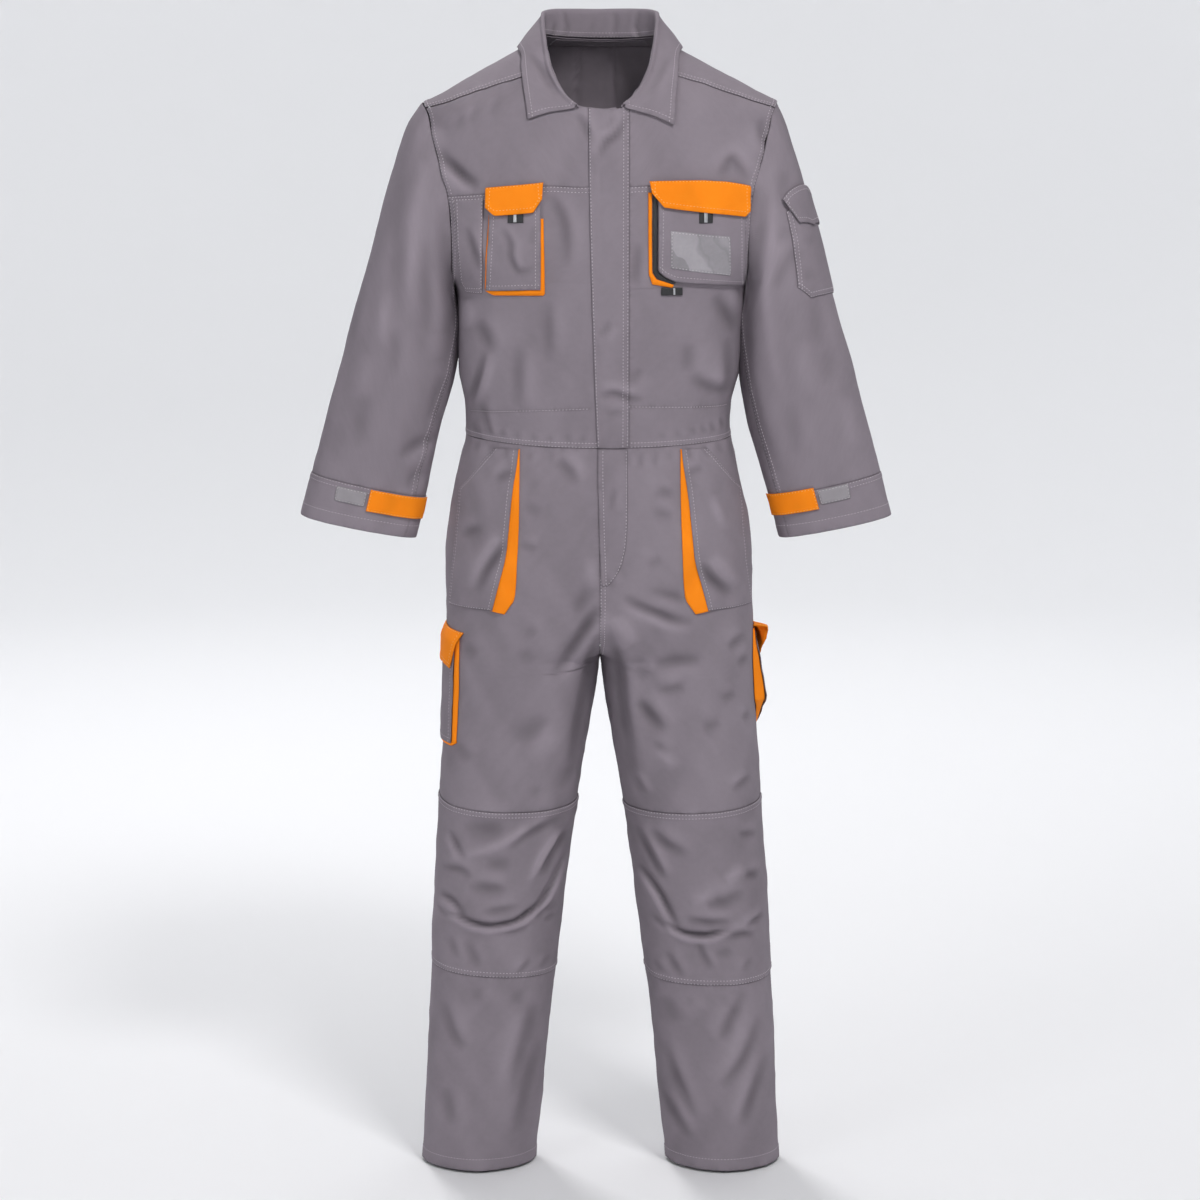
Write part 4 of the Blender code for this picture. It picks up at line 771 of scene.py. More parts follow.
sewing = {
    # how a side is finished: height and width of its turned band, depth of its valley, rows of stitches
    "joins": {
        "seam": (0.0, 0, 0.35, ()), "felled": (0.7, 8.6, 0.35, (1.6, 7.2)), "hem": (0.5, 19, 0.1, (17.5,)),
        "flush": (0.0, 0, 0.0, (2.2, 8.8)), "lap": (0.2, 5, 0.8, (2.2,)),
        "patch": (0.15, 5, 0.0, (1.8,)), "patch2": (0.25, 8.6, 0.0, (1.8, 7.4)), "turned": (0.3, 9, 0.3, (7.0,)),
        "free": (0.0, 0, 0.25, ()),
    },
    "step": 4.4, "grooveDepth": 0.32, "grooveHalf": 0.8, "lineDepth": 0.8, "lineWidth": 4,
    # the last two set painted light: how much the broad hills count in the painted shade, and how much lighter a raised
    # turned band is painted
    "puckerSize": 12, "pucker": 0.7, "puckerReach": 12, "paintedHillShade": 0.4, "paintedBandLightness": 0.25,
    "stitch": (2.8, 1.05, 0.7), "pitch": 4.7, "stitchSink": 0.0,
}
sides = ("top", "bottom", "left", "right")
threads = {}


def alongEdge(edge, t):
    # spots at shares t of an edge, which is a function or a list of spots
    if callable(edge):
        return edge(t)
    at = t * (len(edge) - 1)
    return np.stack([np.interp(at, range(len(edge)), column) for column in np.array(edge, float).T], -1)


def panel(top, bottom, left, right):
    # a panel inside its four edges; its rows end on the two sides
    def grid(u, v):
        first, last = alongEdge(left, v), alongEdge(right, v)
        over, under = alongEdge(top, u), alongEdge(bottom, u)
        ends = np.array([0.0, 1.0])
        (a, b), (c, d) = alongEdge(left, ends), alongEdge(right, ends)
        (e, f), (g, h) = alongEdge(top, ends), alongEdge(bottom, ends)
        across = u[:, None]
        over = over + (1 - across) * (a - e) + across * (c - f)
        under = under + (1 - across) * (b - g) + across * (d - h)
        u, v = u[None, :, None], v[:, None, None]
        edges = (1 - v) * over[None] + v * under[None] + (1 - u) * first[:, None] + u * last[:, None]
        return edges - (1 - v) * ((1 - u) * a + u * c) - v * ((1 - u) * b + u * d)
    return grid


def patch(columns):
    # a patch from its columns (top across, top height, bottom across, bottom height)
    table = np.array(columns, float)

    def grid(u, v):
        row = alongEdge(table, u)
        return row[None, :, :2] * (1 - v[:, None, None]) + row[None, :, 2:] * v[:, None, None]
    return grid


def mirrored(half):
    # a panel on both sides of the middle of the back, from the one that lies on one side
    def grid(u, v):
        left = half(1)(np.clip(2 * u, 0, 1), v)
        right = half(-1)(np.clip(2 - 2 * u, 0, 1), v)
        right[..., 0] = 360 - right[..., 0]
        return np.where((u <= 0.5)[None, :, None], left, right)
    return grid


def laid(place, grid, lift=0.0, bulge=0.0):
    # a panel laid on a surface, lifted off it by a distance or by a function of its shares
    def lay(u, v):
        spots = grid(u, v)
        points, normals = onSurface(place, spots[..., 0], spots[..., 1])
        height = lift(u[None, :], v[:, None]) if callable(lift) else lift
        crown = np.sin(np.pi * u)[None, :] * np.sin(np.pi * v)[:, None]
        height = height + bulge * np.clip(crown, 0, 1) ** 0.6 + np.zeros(points.shape[:2])
        return points + normals * height[..., None], normals
    lay.kind = place[0].removesuffix("Front")
    return lay


def measured(points, axis):
    gaps = np.linalg.norm(np.diff(points, axis=axis), axis=-1)
    start = np.zeros_like(np.take(gaps, [0], axis))
    return np.concatenate([start, np.cumsum(gaps, axis)], axis)


def closeRows(join):
    # distances of a panel's rows from one of its ends: on both sides of each groove and each step
    band, width, valley, rows = join or (0, 0, 0, ())
    at = {0.0, 0.7, 3.0} if valley else {0.0, 2.5}
    for row in rows:
        at |= {row - sewing["grooveHalf"], row, row + sewing["grooveHalf"]}
    if width:
        at |= {width - 0.6, width + 0.8, width + 3.5}
    at = np.array(sorted(at))
    return at[np.concatenate([[True], np.diff(at) > 0.35])]


def shareLine(lengths, joins, step):
    # shares along a panel, closer together beside its sewn ends
    total = lengths[-1]
    start, end = (closeRows(join) for join in joins)
    if total < start[-1] + end[-1] + 4:
        at = np.linspace(0, total, max(4, round(total / 1.2)) + 1)
    else:
        count = max(2, round((total - start[-1] - end[-1]) / step))
        middle = np.linspace(start[-1], total - end[-1], count + 1)
        at = np.concatenate([start[:-1], middle, (total - end[:-1])[::-1]])
    return np.interp(at, lengths, np.linspace(0, 1, len(lengths)))


def gridNormals(points, like):
    across, down = np.gradient(points, axis=1), np.gradient(points, axis=0)
    normals = np.cross(across, down)
    normals /= np.linalg.norm(normals, axis=-1, keepdims=True) + 1e-12
    return normals * np.sign((normals * like).sum(-1).mean())


def lineGap(points, line):
    # distance from a line on the cloth, and the length along it
    start, step = line[:-1], np.diff(line, axis=0)
    size = np.linalg.norm(step, axis=-1) + 1e-9
    off = points[..., None, :] - start
    t = np.clip((off * step).sum(-1) / size**2, 0, 1)
    off -= t[..., None] * step
    away = np.linalg.norm(off, axis=-1)
    k = away.argmin(-1)[..., None]
    run = np.take_along_axis(t * size + np.cumsum(size) - size, k, -1)
    return np.take_along_axis(away, k, -1)[..., 0], run[..., 0]


def makeCloth(name, look, node, lay, finish, thick=1.2, tube=False, sink=0.0, lines=(), thread=None,
              step=None):
    step = step or sewing["step"]
    joins = [sewing["joins"].get(kind) for kind in finish]
    even = np.linspace(0, 1, 61)
    coarse, _ = lay(even, even)
    u = shareLine(measured(coarse, 1).mean(0), joins[2:], step)
    v = shareLine(measured(coarse, 0).mean(1), joins[:2], step)
    points, normals = lay(u, v)
    across, down = measured(points, 1), measured(points, 0)
    flatU = across - across[:, [across.shape[1] // 2]]
    away = {"top": down, "bottom": down[-1:] - down, "left": across, "right": across[:, -1:] - across}
    run, height, nearest = np.zeros(points.shape[:2]), np.zeros(points.shape[:2]), np.full(points.shape[:2], 60.0)
    paintedBandHighlight = np.zeros(points.shape[:2])
    for side, join in zip(sides, joins):
        if join is None:
            continue
        band, width, valley, rows = join
        gap = away[side]
        raised = 1 - np.clip((gap - width + 0.8) / 1.6, 0, 1)
        height += band * raised - (band + valley) * np.exp(-gap / 0.9)
        # painted highlight: the raised turned band is made lighter in colour
        paintedBandHighlight = np.maximum(paintedBandHighlight, (band > 0) * sewing["paintedBandLightness"] * raised)
        if rows and sink and rows[0] == 1.8:
            height -= sink * np.exp(-gap / 2.0)
        for row in rows:
            height -= sewing["grooveDepth"] * np.clip(1 - np.abs(gap - row) / sewing["grooveHalf"], 0, 1)
        nearer = gap < nearest
        nearest = np.minimum(nearest, gap)
        run = np.where(nearer, across if side in ("top", "bottom") else down, run)
    for line, _ in lines:
        gap, along = lineGap(points, line)
        height -= sewing["lineDepth"] * np.exp(-((gap / sewing["lineWidth"]) ** 2))
        nearer = gap < nearest
        nearest, run = np.minimum(nearest, gap), np.where(nearer, along, run)
    pucker = sewing["pucker"] * softNoise(points, (sewing["puckerSize"],) * 3, 5) * np.exp(-nearest / sewing["puckerReach"])
    kind = getattr(lay, "kind", None)
    # painted shade for the colour: the puckers, the turned bands' painted highlight, and the creases and hills, the
    # broad hills counting for less
    fold = pucker + paintedBandHighlight + (relief(kind, points, normals, sewing["paintedHillShade"]) if kind else 0)
    height += pucker
    points = points + normals * height[..., None]

    rows, columns = points.shape[:2]
    grid = bmesh.new()
    bmesh.ops.create_grid(grid, x_segments=columns - 1, y_segments=rows - 1, size=0.5)
    mesh = bpy.data.meshes.new(name)
    grid.to_mesh(mesh)
    grid.free()
    mesh.vertices.foreach_set("co", (points * mm).ravel())
    corner = np.zeros(len(mesh.loops), int)
    mesh.loops.foreach_get("vertex_index", corner)
    flat = np.stack([flatU, -down], -1).reshape(-1, 2) * mm
    mesh.uv_layers.new(name="flat").data.foreach_set("uv", flat[corner].ravel())
    # the "fold" attribute carries this painted shade into the material
    for key, values in (("edge", nearest), ("run", run), ("fold", fold)):
        mesh.attributes.new(key, "FLOAT", "POINT").data.foreach_set("value", values.ravel())
    mesh.update()
    facing = np.zeros(len(mesh.polygons) * 3)
    mesh.polygons.foreach_get("normal", facing)
    middle = normals[:-1, :-1].reshape(-1, 3)
    if (facing.reshape(-1, 3) * middle).sum() < 0:
        mesh.flip_normals()
    if tube:
        whole = bmesh.new()
        whole.from_mesh(mesh)
        bmesh.ops.remove_doubles(whole, verts=whole.verts[:], dist=0.05 * mm)
        whole.to_mesh(mesh)
        whole.free()
    mesh.shade_smooth()
    mesh.materials.append(looks[look])
    piece = bpy.data.objects.new(name, mesh)
    bpy.context.scene.collection.objects.link(piece)
    wall = piece.modifiers.new("thickness", "SOLIDIFY")
    wall.thickness, wall.offset = thick * mm, -1
    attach(piece, "root")
    if node:
        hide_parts(node)
    width, length = across[:, -1].max() * mm, down[-1].max() * mm
    area = min(max(sum(polygon.area for polygon in mesh.polygons), 0.31 * width * length), width * length)
    if min(width, length) > 0.0095:    # the narrow tapes and tab ends aren't sheets; nothing is done with the wider ones here
        max(width, 0.01)
    cloth = SimpleNamespace(name=name, points=points, normals=gridNormals(points, normals), away=away)
    if thread:
        group = threads.setdefault(thread, [])
        for side, join in zip(sides, joins):
            group.extend(insetLine(cloth, side, inset) for inset in (join[3] if join else ()))
        group.extend((line, facing) for line, facing in lines)
    return cloth


def insetLine(cloth, side, inset, start=0.0, end=1.0):
    # a line on a piece of cloth at a fixed distance from one of its sides
    parts = [cloth.points, cloth.normals, cloth.away[side]]
    if side in ("left", "right"):
        parts = [np.swapaxes(part, 0, 1) for part in parts]
    if side in ("bottom", "right"):
        parts = [part[::-1] for part in parts]
    points, normals, away = parts
    count = away.shape[1]
    row = np.array([np.interp(inset, away[:, c], np.arange(len(away))) for c in range(count)])
    low = np.clip(row.astype(int), 0, len(away) - 2)
    t, c = (row - low)[:, None], np.arange(count)
    line = points[low, c] * (1 - t) + points[low + 1, c] * t
    facing = normals[low, c]
    keep = slice(int(start * (count - 1)), int(end * (count - 1)) + 1)
    return line[keep], facing[keep]


def surfaceLine(place, spots, lift=0.0, finer=10):
    spots = smoothPath(spots, finer)
    points, normals = onSurface(place, spots[:, 0], spots[:, 1])
    return points + normals * lift, normals


def stitched(line, facing):
    # places, directions and normals of the stitches along a line
    length = measured(line, 0)
    count = int(length[-1] / sewing["pitch"])
    at = (np.arange(count) + 0.5) * sewing["pitch"] + (length[-1] - count * sewing["pitch"]) / 2
    place = np.stack([np.interp(at, length, column) for column in line.T], -1)
    up = np.stack([np.interp(at, length, column) for column in facing.T], -1)
    half = sewing["pitch"] / 3
    along = np.stack([np.interp(at + half, length, column) - np.interp(at - half, length, column) for column in line.T], -1)
    return place, along, up


def sew(name, look, lines):
    # every row of stitches of one area, as one piece
    parts = [stitched(line, facing) for line, facing in lines if len(line) > 1]
    place, along, up = (np.concatenate(part) for part in zip(*parts))
    along /= np.linalg.norm(along, axis=-1, keepdims=True) + 1e-12
    beside = np.cross(up, along)
    beside /= np.linalg.norm(beside, axis=-1, keepdims=True) + 1e-12
    up = np.cross(along, beside)
    bead = bmesh.new()
    bmesh.ops.create_icosphere(bead, subdivisions=1, radius=0.5)
    shape = np.array([vert.co for vert in bead.verts]) * sewing["stitch"]
    mesh = bpy.data.meshes.new(name + "Bead")
    bead.to_mesh(mesh)
    bead.free()
    seed = bpy.data.objects.new(name + "Bead", mesh)
    bpy.context.scene.collection.objects.link(seed)
    row = seed.modifiers.new("row", "ARRAY")
    row.count, row.use_relative_offset = len(place), False
    whole = bpy.data.meshes.new_from_object(seed.evaluated_get(bpy.context.evaluated_depsgraph_get()))
    bpy.data.objects.remove(seed)
    whole.name = name
    places = place[:, None] + shape[:, 0, None] * along[:, None] + shape[:, 1, None] * beside[:, None]
    places += (shape[:, 2, None] - sewing["stitchSink"]) * up[:, None]
    whole.vertices.foreach_set("co", (places * mm).ravel())
    whole.update()
    whole.shade_smooth()
    whole.materials.append(looks[look])
    piece = bpy.data.objects.new(name, whole)
    bpy.context.scene.collection.objects.link(piece)
    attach(piece, "root")
    print(f"{name}: {len(place)} stitches")


def follow(pairs, at):
    table = np.array(sorted(pairs), float)
    return np.interp(at, table[:, 0], table[:, 1])


# the jacket

jacket = {
    "neck": [(0, 76), (-12, 74.5), (-25, 72), (-50, 64), (-75, 51), (-88, 39), (-95, 24), (-98, 0)],
    "shoulderSeam": [(67, -41), (102, -52.5), (137, -63.5), (178, -77), (213, -89), (241, -97)],
    "chestSeam": [(0, -202), (30, -202.5), (70, -201), (112, -206), (154, -212), (208, -217)],
    # across at the top and across at the chest seam
    "columns": [(40, 40), (51, 56), (60, 70), (67, 84), (102, 106), (137, 132), (178, 160), (213, 186), (241, 208)],
    "underPlacket": [(-22, -22), (0, 0), (26, 24)],
    "frontArm": (69.6, 0), "lowerArm": (0, -90), "yokeArm": [69.6, 79.8, 90, 105, 119.5, 134, 148.5],
    "backArm": (148.5, 270),
    "yokeNeck": [(90, 0), (105, -0.8), (118, -1.4), (131, -2), (144, -2.4), (156, -2.7), (168, -3), (180, -3)],
    "placket": {"across": (-16, 0, 15, 27, 40), "drift": (1, 1, 0.7, 0.35, 0), "lift": (2.6, 2.6, 2.6, 2.2, 0.0)},
    "upperStitchLine": {-1: [(-181, -515), (-100, -509), (-14, -505)], 1: [(37, -502), (100, -504), (177, -507)]},
    "neckTape": [(128, -3.5, 128, -12), (180, -4.5, 180, -13), (232, -3.5, 232, -12)],
}


def waistHeight(side, turns, point):
    x = point(side, turns, form["waist"] + 0 * turns)[..., 0]
    rise = np.where(x < 0, form["waistRise"][-1], form["waistRise"][1])
    return form["waist"] + rise * (np.abs(x) / 190) ** 2


def waistEdge(side, start, end, point):
    def edge(t):
        turns = start + (end - start) * t
        return np.stack([turns, waistHeight(side, turns, point)], -1)
    return edge


def armEdge(side, turns):
    def edge(t):
        return np.stack(armholeSpot(side, np.interp(t * (len(turns) - 1), range(len(turns)), turns)), -1)
    return edge


def armAndSide(side, turns, share):
    # down the armhole, then down the side seam to the waist
    low = float(waistHeight(side, np.array(90.0), bodyPoint))

    def edge(t):
        turn, z = armholeSpot(side, np.interp(t / share, (0, 1), turns))
        below = form["underarm"] + (low - form["underarm"]) * (t - share) / (1 - share)
        return np.stack([np.where(t < share, turn, 90.0), np.where(t < share, z, below)], -1)
    return edge


def chestZ(x):
    seam = np.array(jacket["chestSeam"], float)
    return smoothCurve(seam[:, 0], seam[:, 1], np.abs(x))


def bodySpots(side, across, z):
    across, z = np.broadcast_arrays(np.asarray(across, float), np.asarray(z, float))
    return np.stack([bodyTurn(side, across, z), z], -1)


def neckX(z):
    return follow(jacket["neck"], z)


def makeFront(side, name):
    columns = np.array((jacket["underPlacket"] if side < 0 else []) + jacket["columns"], float)
    neck, seam = [(x, z) for z, x in jacket["neck"]], jacket["shoulderSeam"]
    topZ = np.where(np.abs(columns[:, 0]) < seam[0][0], follow(neck, np.abs(columns[:, 0])), follow(seam, columns[:, 0]))
    top = bodySpots(side, columns[:, 0], topZ)
    chest = lambda t: bodySpots(side, alongEdge(columns[:, 1:], t)[:, 0], chestZ(alongEdge(columns[:, 1:], t)[:, 0]))
    inner = columns[0, 0]
    chestStart = float(chestZ(inner))
    opening = lambda t: bodySpots(side, inner + 0 * t, topZ[0] + (chestStart - topZ[0]) * t)
    place = ("body", side)
    upper = panel(top, chest, opening, armEdge(side, jacket["frontArm"]))
    makeCloth(f"{name}UpperFront", "grey", f"front_upper_{name}", laid(place, upper),
              ("seam", "seam", "seam", "felled"), thread="jacketStitches")
    waist = float(waistHeight(side, np.array(float(bodyTurn(side, inner, form["waist"]))), bodyPoint))
    opening = lambda t: bodySpots(side, inner + 0 * t, chestStart + (waist - chestStart) * t)
    first = float(bodyTurn(side, inner, waist))
    lower = panel(chest, waistEdge(side, first, 90, bodyPoint), opening, armAndSide(side, jacket["lowerArm"], 5 / 13))
    line = surfaceLine(("bodyFront", 1), jacket["upperStitchLine"][side], 0.1)
    makeCloth(f"{name}LowerFront", "grey", f"front_lower_{name}", laid(place, lower),
              ("felled", "felled", "seam", "felled"), thread="jacketStitches", lines=[line])


def shoulderHalf(side):
    seam = jacket["shoulderSeam"]
    frontNeck = [(float(bodyTurn(side, neckX(z), z)), z) for z in (-41, -31, -17)]
    neck = np.array(frontNeck + jacket["yokeNeck"], float)
    turns = jacket["yokeArm"]
    lowTurn, lowZ = (float(value) for value in armholeSpot(side, np.float64(turns[-1])))
    share = (len(turns) - 1) / (len(neck) - 1)

    def under(t):
        turn, z = armholeSpot(side, np.interp(t / share * (len(turns) - 1), range(len(turns)), turns))
        back = lowTurn + (180 - lowTurn) * (t - share) / (1 - share)
        return np.stack([np.where(t < share, turn, back), np.where(t < share, z, lowZ)], -1)
    front = bodySpots(side, [x for x, _ in seam], [z for _, z in seam])
    middle = [(180, neck[-1][1]), (180, lowZ)]
    return panel(neck, under, front, middle)


def backHalf(side):
    topTurn, topZ = (float(value) for value in armholeSpot(side, np.float64(jacket["backArm"][0])))
    middleZ = float(waistHeight(side, np.array(180.0), bodyPoint))
    return panel([(topTurn, topZ), (180, topZ)], waistEdge(side, 90, 180, bodyPoint),
                 armAndSide(side, jacket["backArm"], 7 / 15), [(180, topZ), (180, middleZ)])


def makeBack():
    place = ("body", 1)
    makeCloth("shoulderPiece", "grey", "shoulder_piece", laid(place, mirrored(shoulderHalf)),
              ("seam", "felled", "felled", "felled"), thread="jacketStitches")
    makeCloth("backCloth", "grey", "back", laid(place, mirrored(backHalf)), ("seam", "felled", "seam", "seam"),
              thread="jacketStitches")
    makeCloth("neckTape", "grey", None, laid(place, patch(jacket["neckTape"]), -1.9), ("patch", "patch", None, None),
              thick=0.6, step=4)


def makePlacket():
    piece = jacket["placket"]
    neck = [(x, z) for z, x in jacket["neck"]]
    tops = follow(neck, np.abs(piece["across"])) - np.array([0, 0, 2, 4, 4])
    lows = form["waist"] + 0.4 * np.array([1, 0, 0, 1, 1])

    def grid(u, v):
        at = 4 * u
        across, drift, top, low = (np.interp(at, range(5), row)[None] for row in
                                   (piece["across"], piece["drift"], tops, lows))
        down = v[:, None]
        return np.stack([across + 12 * drift * down**1.6, top * (1 - down) + low * down], -1)

    def lift(u, v):
        return np.interp(4 * u, range(5), piece["lift"]) + 0 * v
    makeCloth("frontPlacket", "grey", "placket", laid(("bodyFront", 1), grid, lift), ("seam", "seam", "lap", "flush"),
              thick=1.6, thread="jacketStitches")


for side, name in ((-1, "right"), (1, "left")):
    makeFront(side, name)
makeBack()
makePlacket()
print("jacket ready")


# the collar

collar = {
    # neck across, neck z, fold x, fold y, fold z, edge across, edge z
    "left": [
        (28.5, -95.5, 28.5, -110, -93, 100, -120), (38, -89, 40, -103, -84, 102, -101),
        (49, -77, 52, -93, -70, 103.5, -80), (60, -57, 63, -77, -50, 105.5, -61), (67, -41, 69, -62, -30, 107, -43),
        (73, -19, 73.5, -38, -2, 107.5, -29),
    ],
    "right": [
        (28.5, -95.5, 28.5, -110, -93, 98, -112), (38, -89, 40, -103, -84, 100, -96),
        (49, -77, 52, -93, -70, 103, -78), (60, -57, 63, -77, -50, 105.5, -60), (67, -41, 69, -62, -30, 107, -43),
        (73, -19, 73.5, -38, -2, 107.5, -29),
    ],
    # neck turn, neck z, fold x, fold y, fold z, edge turn, edge z
    "back": [
        (84, -2, 75.5, -14, 15, 84, -20), (96, -0.5, 76.5, 8, 27, 100, -20), (110, -1, 74, 30, 33, 115, -22),
        (130, -2, 60, 50, 35.5, 132, -25), (152, -2.6, 36, 64, 36, 154, -28), (180, -3, 0, 70, 36, 180, -30),
    ],
    "roll": 3.5, "over": 4.4, "thick": 1.8,
}


def collarSection(base, fold, edge):
    away = edge - fold
    away[2] = 0
    away /= np.linalg.norm(away)
    up, roll = np.array([0, 0, 1.0]), collar["roll"]
    start = fold + away * 2 * roll - up * roll
    middle = (start + edge) / 2 + up * 2 + away * 1.5
    return [
        base, (base + fold) / 2, fold - up * roll, fold + away * roll * 0.3 + up * roll * 0.3,
        fold + away * roll + up * roll * 0.6, fold + away * roll * 1.7 + up * roll * 0.3, start, middle, edge,
    ]


def collarHalf(which):
    half = []
    for row in collar[which] + collar["back"]:
        front = row in collar[which]
        neckTurn = float(bodyTurn(1, row[0], row[1])) if front else row[0]
        edgeTurn = float(bodyTurn(1, row[5], row[6])) if front else row[5]
        if which == "right":
            neckTurn, edgeTurn = 360 - neckTurn, 360 - edgeTurn
        base, out = onSurface(("body", 1), neckTurn, row[1])
        edge, edgeOut = onSurface(("body", 1), edgeTurn, row[6])
        fold = np.array(row[2:5], float) * ((-1 if which == "right" else 1), 1, 1)
        half.append(collarSection(base + out * 1.4, fold, edge + edgeOut * collar["over"]))
    return np.array(half)


def makeCollar():
    left, right = collarHalf("left"), collarHalf("right")
    cage = np.concatenate([left, right[-2::-1]])    # from the wearer's left end round the back to the right end

    def lay(u, v):
        fine = smoothCurve(np.linspace(0, 1, cage.shape[0]), cage, u)
        fine = smoothCurve(np.linspace(0, 1, cage.shape[1]), np.swapaxes(fine, 0, 1), v)
        over, down = np.gradient(fine, axis=1), np.gradient(fine, axis=0)
        normals = np.cross(down, over)
        normals /= np.linalg.norm(normals, axis=-1, keepdims=True)
        return fine + normals * relief("collar", fine, normals)[..., None], normals
    lay.kind = "collar"
    makeCloth("collarCloth", "grey", "collar", lay, ("felled", "turned", "turned", "turned"), thick=collar["thick"],
              thread="jacketStitches", step=4)


makeCollar()
print("collar ready")


# the sleeves

sleeves = {
    "cuffSeam": -606, "cuffHem": -667, "seamTurn": -66, "cuffLift": 0.5, "cuffThick": 2.4, "cuffStitch": 21,
    # turn where the orange tab starts, height there and at its end, and where the loop patch ends
    "tabs": {-1: (-8, -611, -640, 42), 1: (-19, -606, -635, 33)},
    "tabEnd": -84, "loopGap": 4, "tabLift": 3.4,
    # columns of top turn, top height, bottom turn, bottom height
    "pocket": [(25, -186, 15, -312), (39, -195, 28, -341), (60, -212, 50, -348), (82, -225, 78, -354),
               (108, -232, 106, -356)],
    "flap": [(25, -163, 26.5, -177), (36, -170, 34, -222), (58, -190, 56, -250), (84, -211, 83, -258),
             (103, -222, 102, -262), (112, -224, 111, -244)],
    "pocketLift": 2.6, "flapLift": 6.2,
}


def makeSleeve(side, name):
    start = sleeves["seamTurn"]

    def tube(top, low):
        def grid(u, v):
            turns, down = np.broadcast_arrays(start + 360 * u[None, :], top + (low - top) * v[:, None])
            return np.stack([turns, down], -1)
        return grid
    place = ("arm", side)
    makeCloth(f"{name}Sleeve", "grey", f"sleeve_{name}", laid(place, tube(form["shoulder"] - 0.6, sleeves["cuffSeam"])),
              ("seam", "seam", "felled", "seam"), tube=True, thread="sleeveStitches")
    cuff = tube(sleeves["cuffSeam"], sleeves["cuffHem"])
    makeCloth(f"{name}Cuff", "grey", f"cuff_{name}", laid(place, cuff, sleeves["cuffLift"]),
              ("felled", "hem", "seam", "seam"), thick=sleeves["cuffThick"], tube=True, thread="sleeveStitches")
    first, top, bottom, end = sleeves["tabs"][side]
    lift = sleeves["tabLift"]
    turns = np.linspace(sleeves["tabEnd"], first, 6)
    tab = patch([(turn, top + 4, turn, bottom + 2) for turn in turns])
    makeCloth(f"{name}CuffTab", "orange", f"cuff_tab_{name}", laid(place, tab, lift), ("patch",) * 4, thick=1.4,
              thread="orangeStitches", step=4)
    turns = np.linspace(first + sleeves["loopGap"], end, 4)
    loop = patch([(turn, top - 1, turn, bottom + 7) for turn in turns])
    makeCloth(f"{name}LoopPatch", "loop", f"loop_patch_{name}", laid(place, loop, lift - 0.6), ("patch",) * 4,
              thick=1.0, sink=1.4, thread="sleeveStitches", step=4)


def makeSleevePocket():
    place = ("arm", 1)
    makeCloth("sleevePocket", "grey", "sleeve_pocket", laid(place, patch(sleeves["pocket"]), sleeves["pocketLift"], 1.2),
              ("patch", "patch2", "patch2", "patch2"), thick=1.0, sink=1.6, thread="sleeveStitches")
    makeCloth("sleevePocketFlap", "grey", "sleeve_flap", laid(place, patch(sleeves["flap"]), sleeves["flapLift"]),
              ("patch2", "turned", "turned", "turned"), thick=1.6, sink=3.2, thread="sleeveStitches", step=4)


for side, name in ((-1, "right"), (1, "left")):
    makeSleeve(side, name)
makeSleevePocket()
print("sleeves ready")


# the trousers

trousers = {
    "topRows": [-560, -600, -645, -690, -728, -762, -792, -817, -837, -851, -859, -866, -884, -915, -960, -1012],
    # upper seam at the outseam, the middle and the inseam, then the lower seam
    "knees": {-1: (-1064, -1079, -1070, -1310, -1321, -1324), 1: (-1069, -1080, -1077, -1328, -1333, -1323)},
    "kneeLift": 0.7,
    # height, across of the fly's free edge, across of the line where it is sewn down
    "fly": [(-561, -3, 38), (-600, -3, 38), (-640, -2, 38), (-680, -1, 37), (-705, 0, 34), (-730, 1, 26),
            (-750, 2, 12)],
}


def kneeLine(side, low):
    outer, middle, inner = trousers["knees"][side][3 * low:3 * low + 3]

    def height(turn):
        t = turn / 90
        return middle + (outer - inner) / 2 * t + ((outer + inner) / 2 - middle) * t**2
    return height


def kneeEdge(side, low):
    line = kneeLine(side, low)
    return lambda t: np.stack([180 * t - 90, line(180 * t - 90)], -1)


def innerEdge(side, rows, face):
    def edge(t):
        z = np.interp(t * (len(rows) - 1), range(len(rows)), rows)
        return np.stack([innerTurn(side, z, face), z], -1)
    return edge


def makeLeg(side, name):
    place = ("leg", side)
    upper, lower = kneeLine(side, 0), kneeLine(side, 1)
    rows = trousers["topRows"] + [upper(-90)]
    hip = float(waistHeight(side, np.array(90.0), legPoint))
    start = float(innerTurn(side, np.float64(form["waist"]), -1))
    thigh = panel(waistEdge(side, start, 90, legPoint), kneeEdge(side, 0), innerEdge(side, rows, -1),
                  [(90, hip), (90, upper(90))])
    makeCloth(f"{name}ThighFront", "grey", f"thigh_front_{name}", laid(place, thigh),
              ("seam", "seam", "felled" if side > 0 else "seam", "felled"), thread="trouserStitches")
    knee = panel(kneeEdge(side, 0), kneeEdge(side, 1), [(-90, upper(-90)), (-90, lower(-90))],
                 [(90, upper(90)), (90, lower(90))])
    makeCloth(f"{name}KneePatch", "grey", f"knee_patch_{name}", laid(place, knee, trousers["kneeLift"]),
              ("felled", "felled", "felled", "felled"), thread="trouserStitches")
    shin = panel(kneeEdge(side, 1), [(-90, form["hem"]), (90, form["hem"])], [(-90, lower(-90)), (-90, form["hem"])],
                 [(90, lower(90)), (90, form["hem"])])
    makeCloth(f"{name}ShinFront", "grey", f"shin_front_{name}", laid(place, shin), ("seam", "hem", "felled", "felled"),
              thread="trouserStitches")
    rows = rows + list(np.linspace(upper(-90), form["hem"], 14))[1:]
    start = float(innerTurn(side, np.float64(form["waist"]), 1))
    leg = panel(waistEdge(side, start, 90, legPoint), [(270, form["hem"]), (90, form["hem"])],
                innerEdge(side, rows, 1), [(90, z) for z in np.linspace(hip, form["hem"], len(rows))])
    makeCloth(f"{name}LegBack", "grey", f"leg_back_{name}", laid(place, leg), ("seam", "hem", "seam", "seam"),
              thread="trouserStitches")


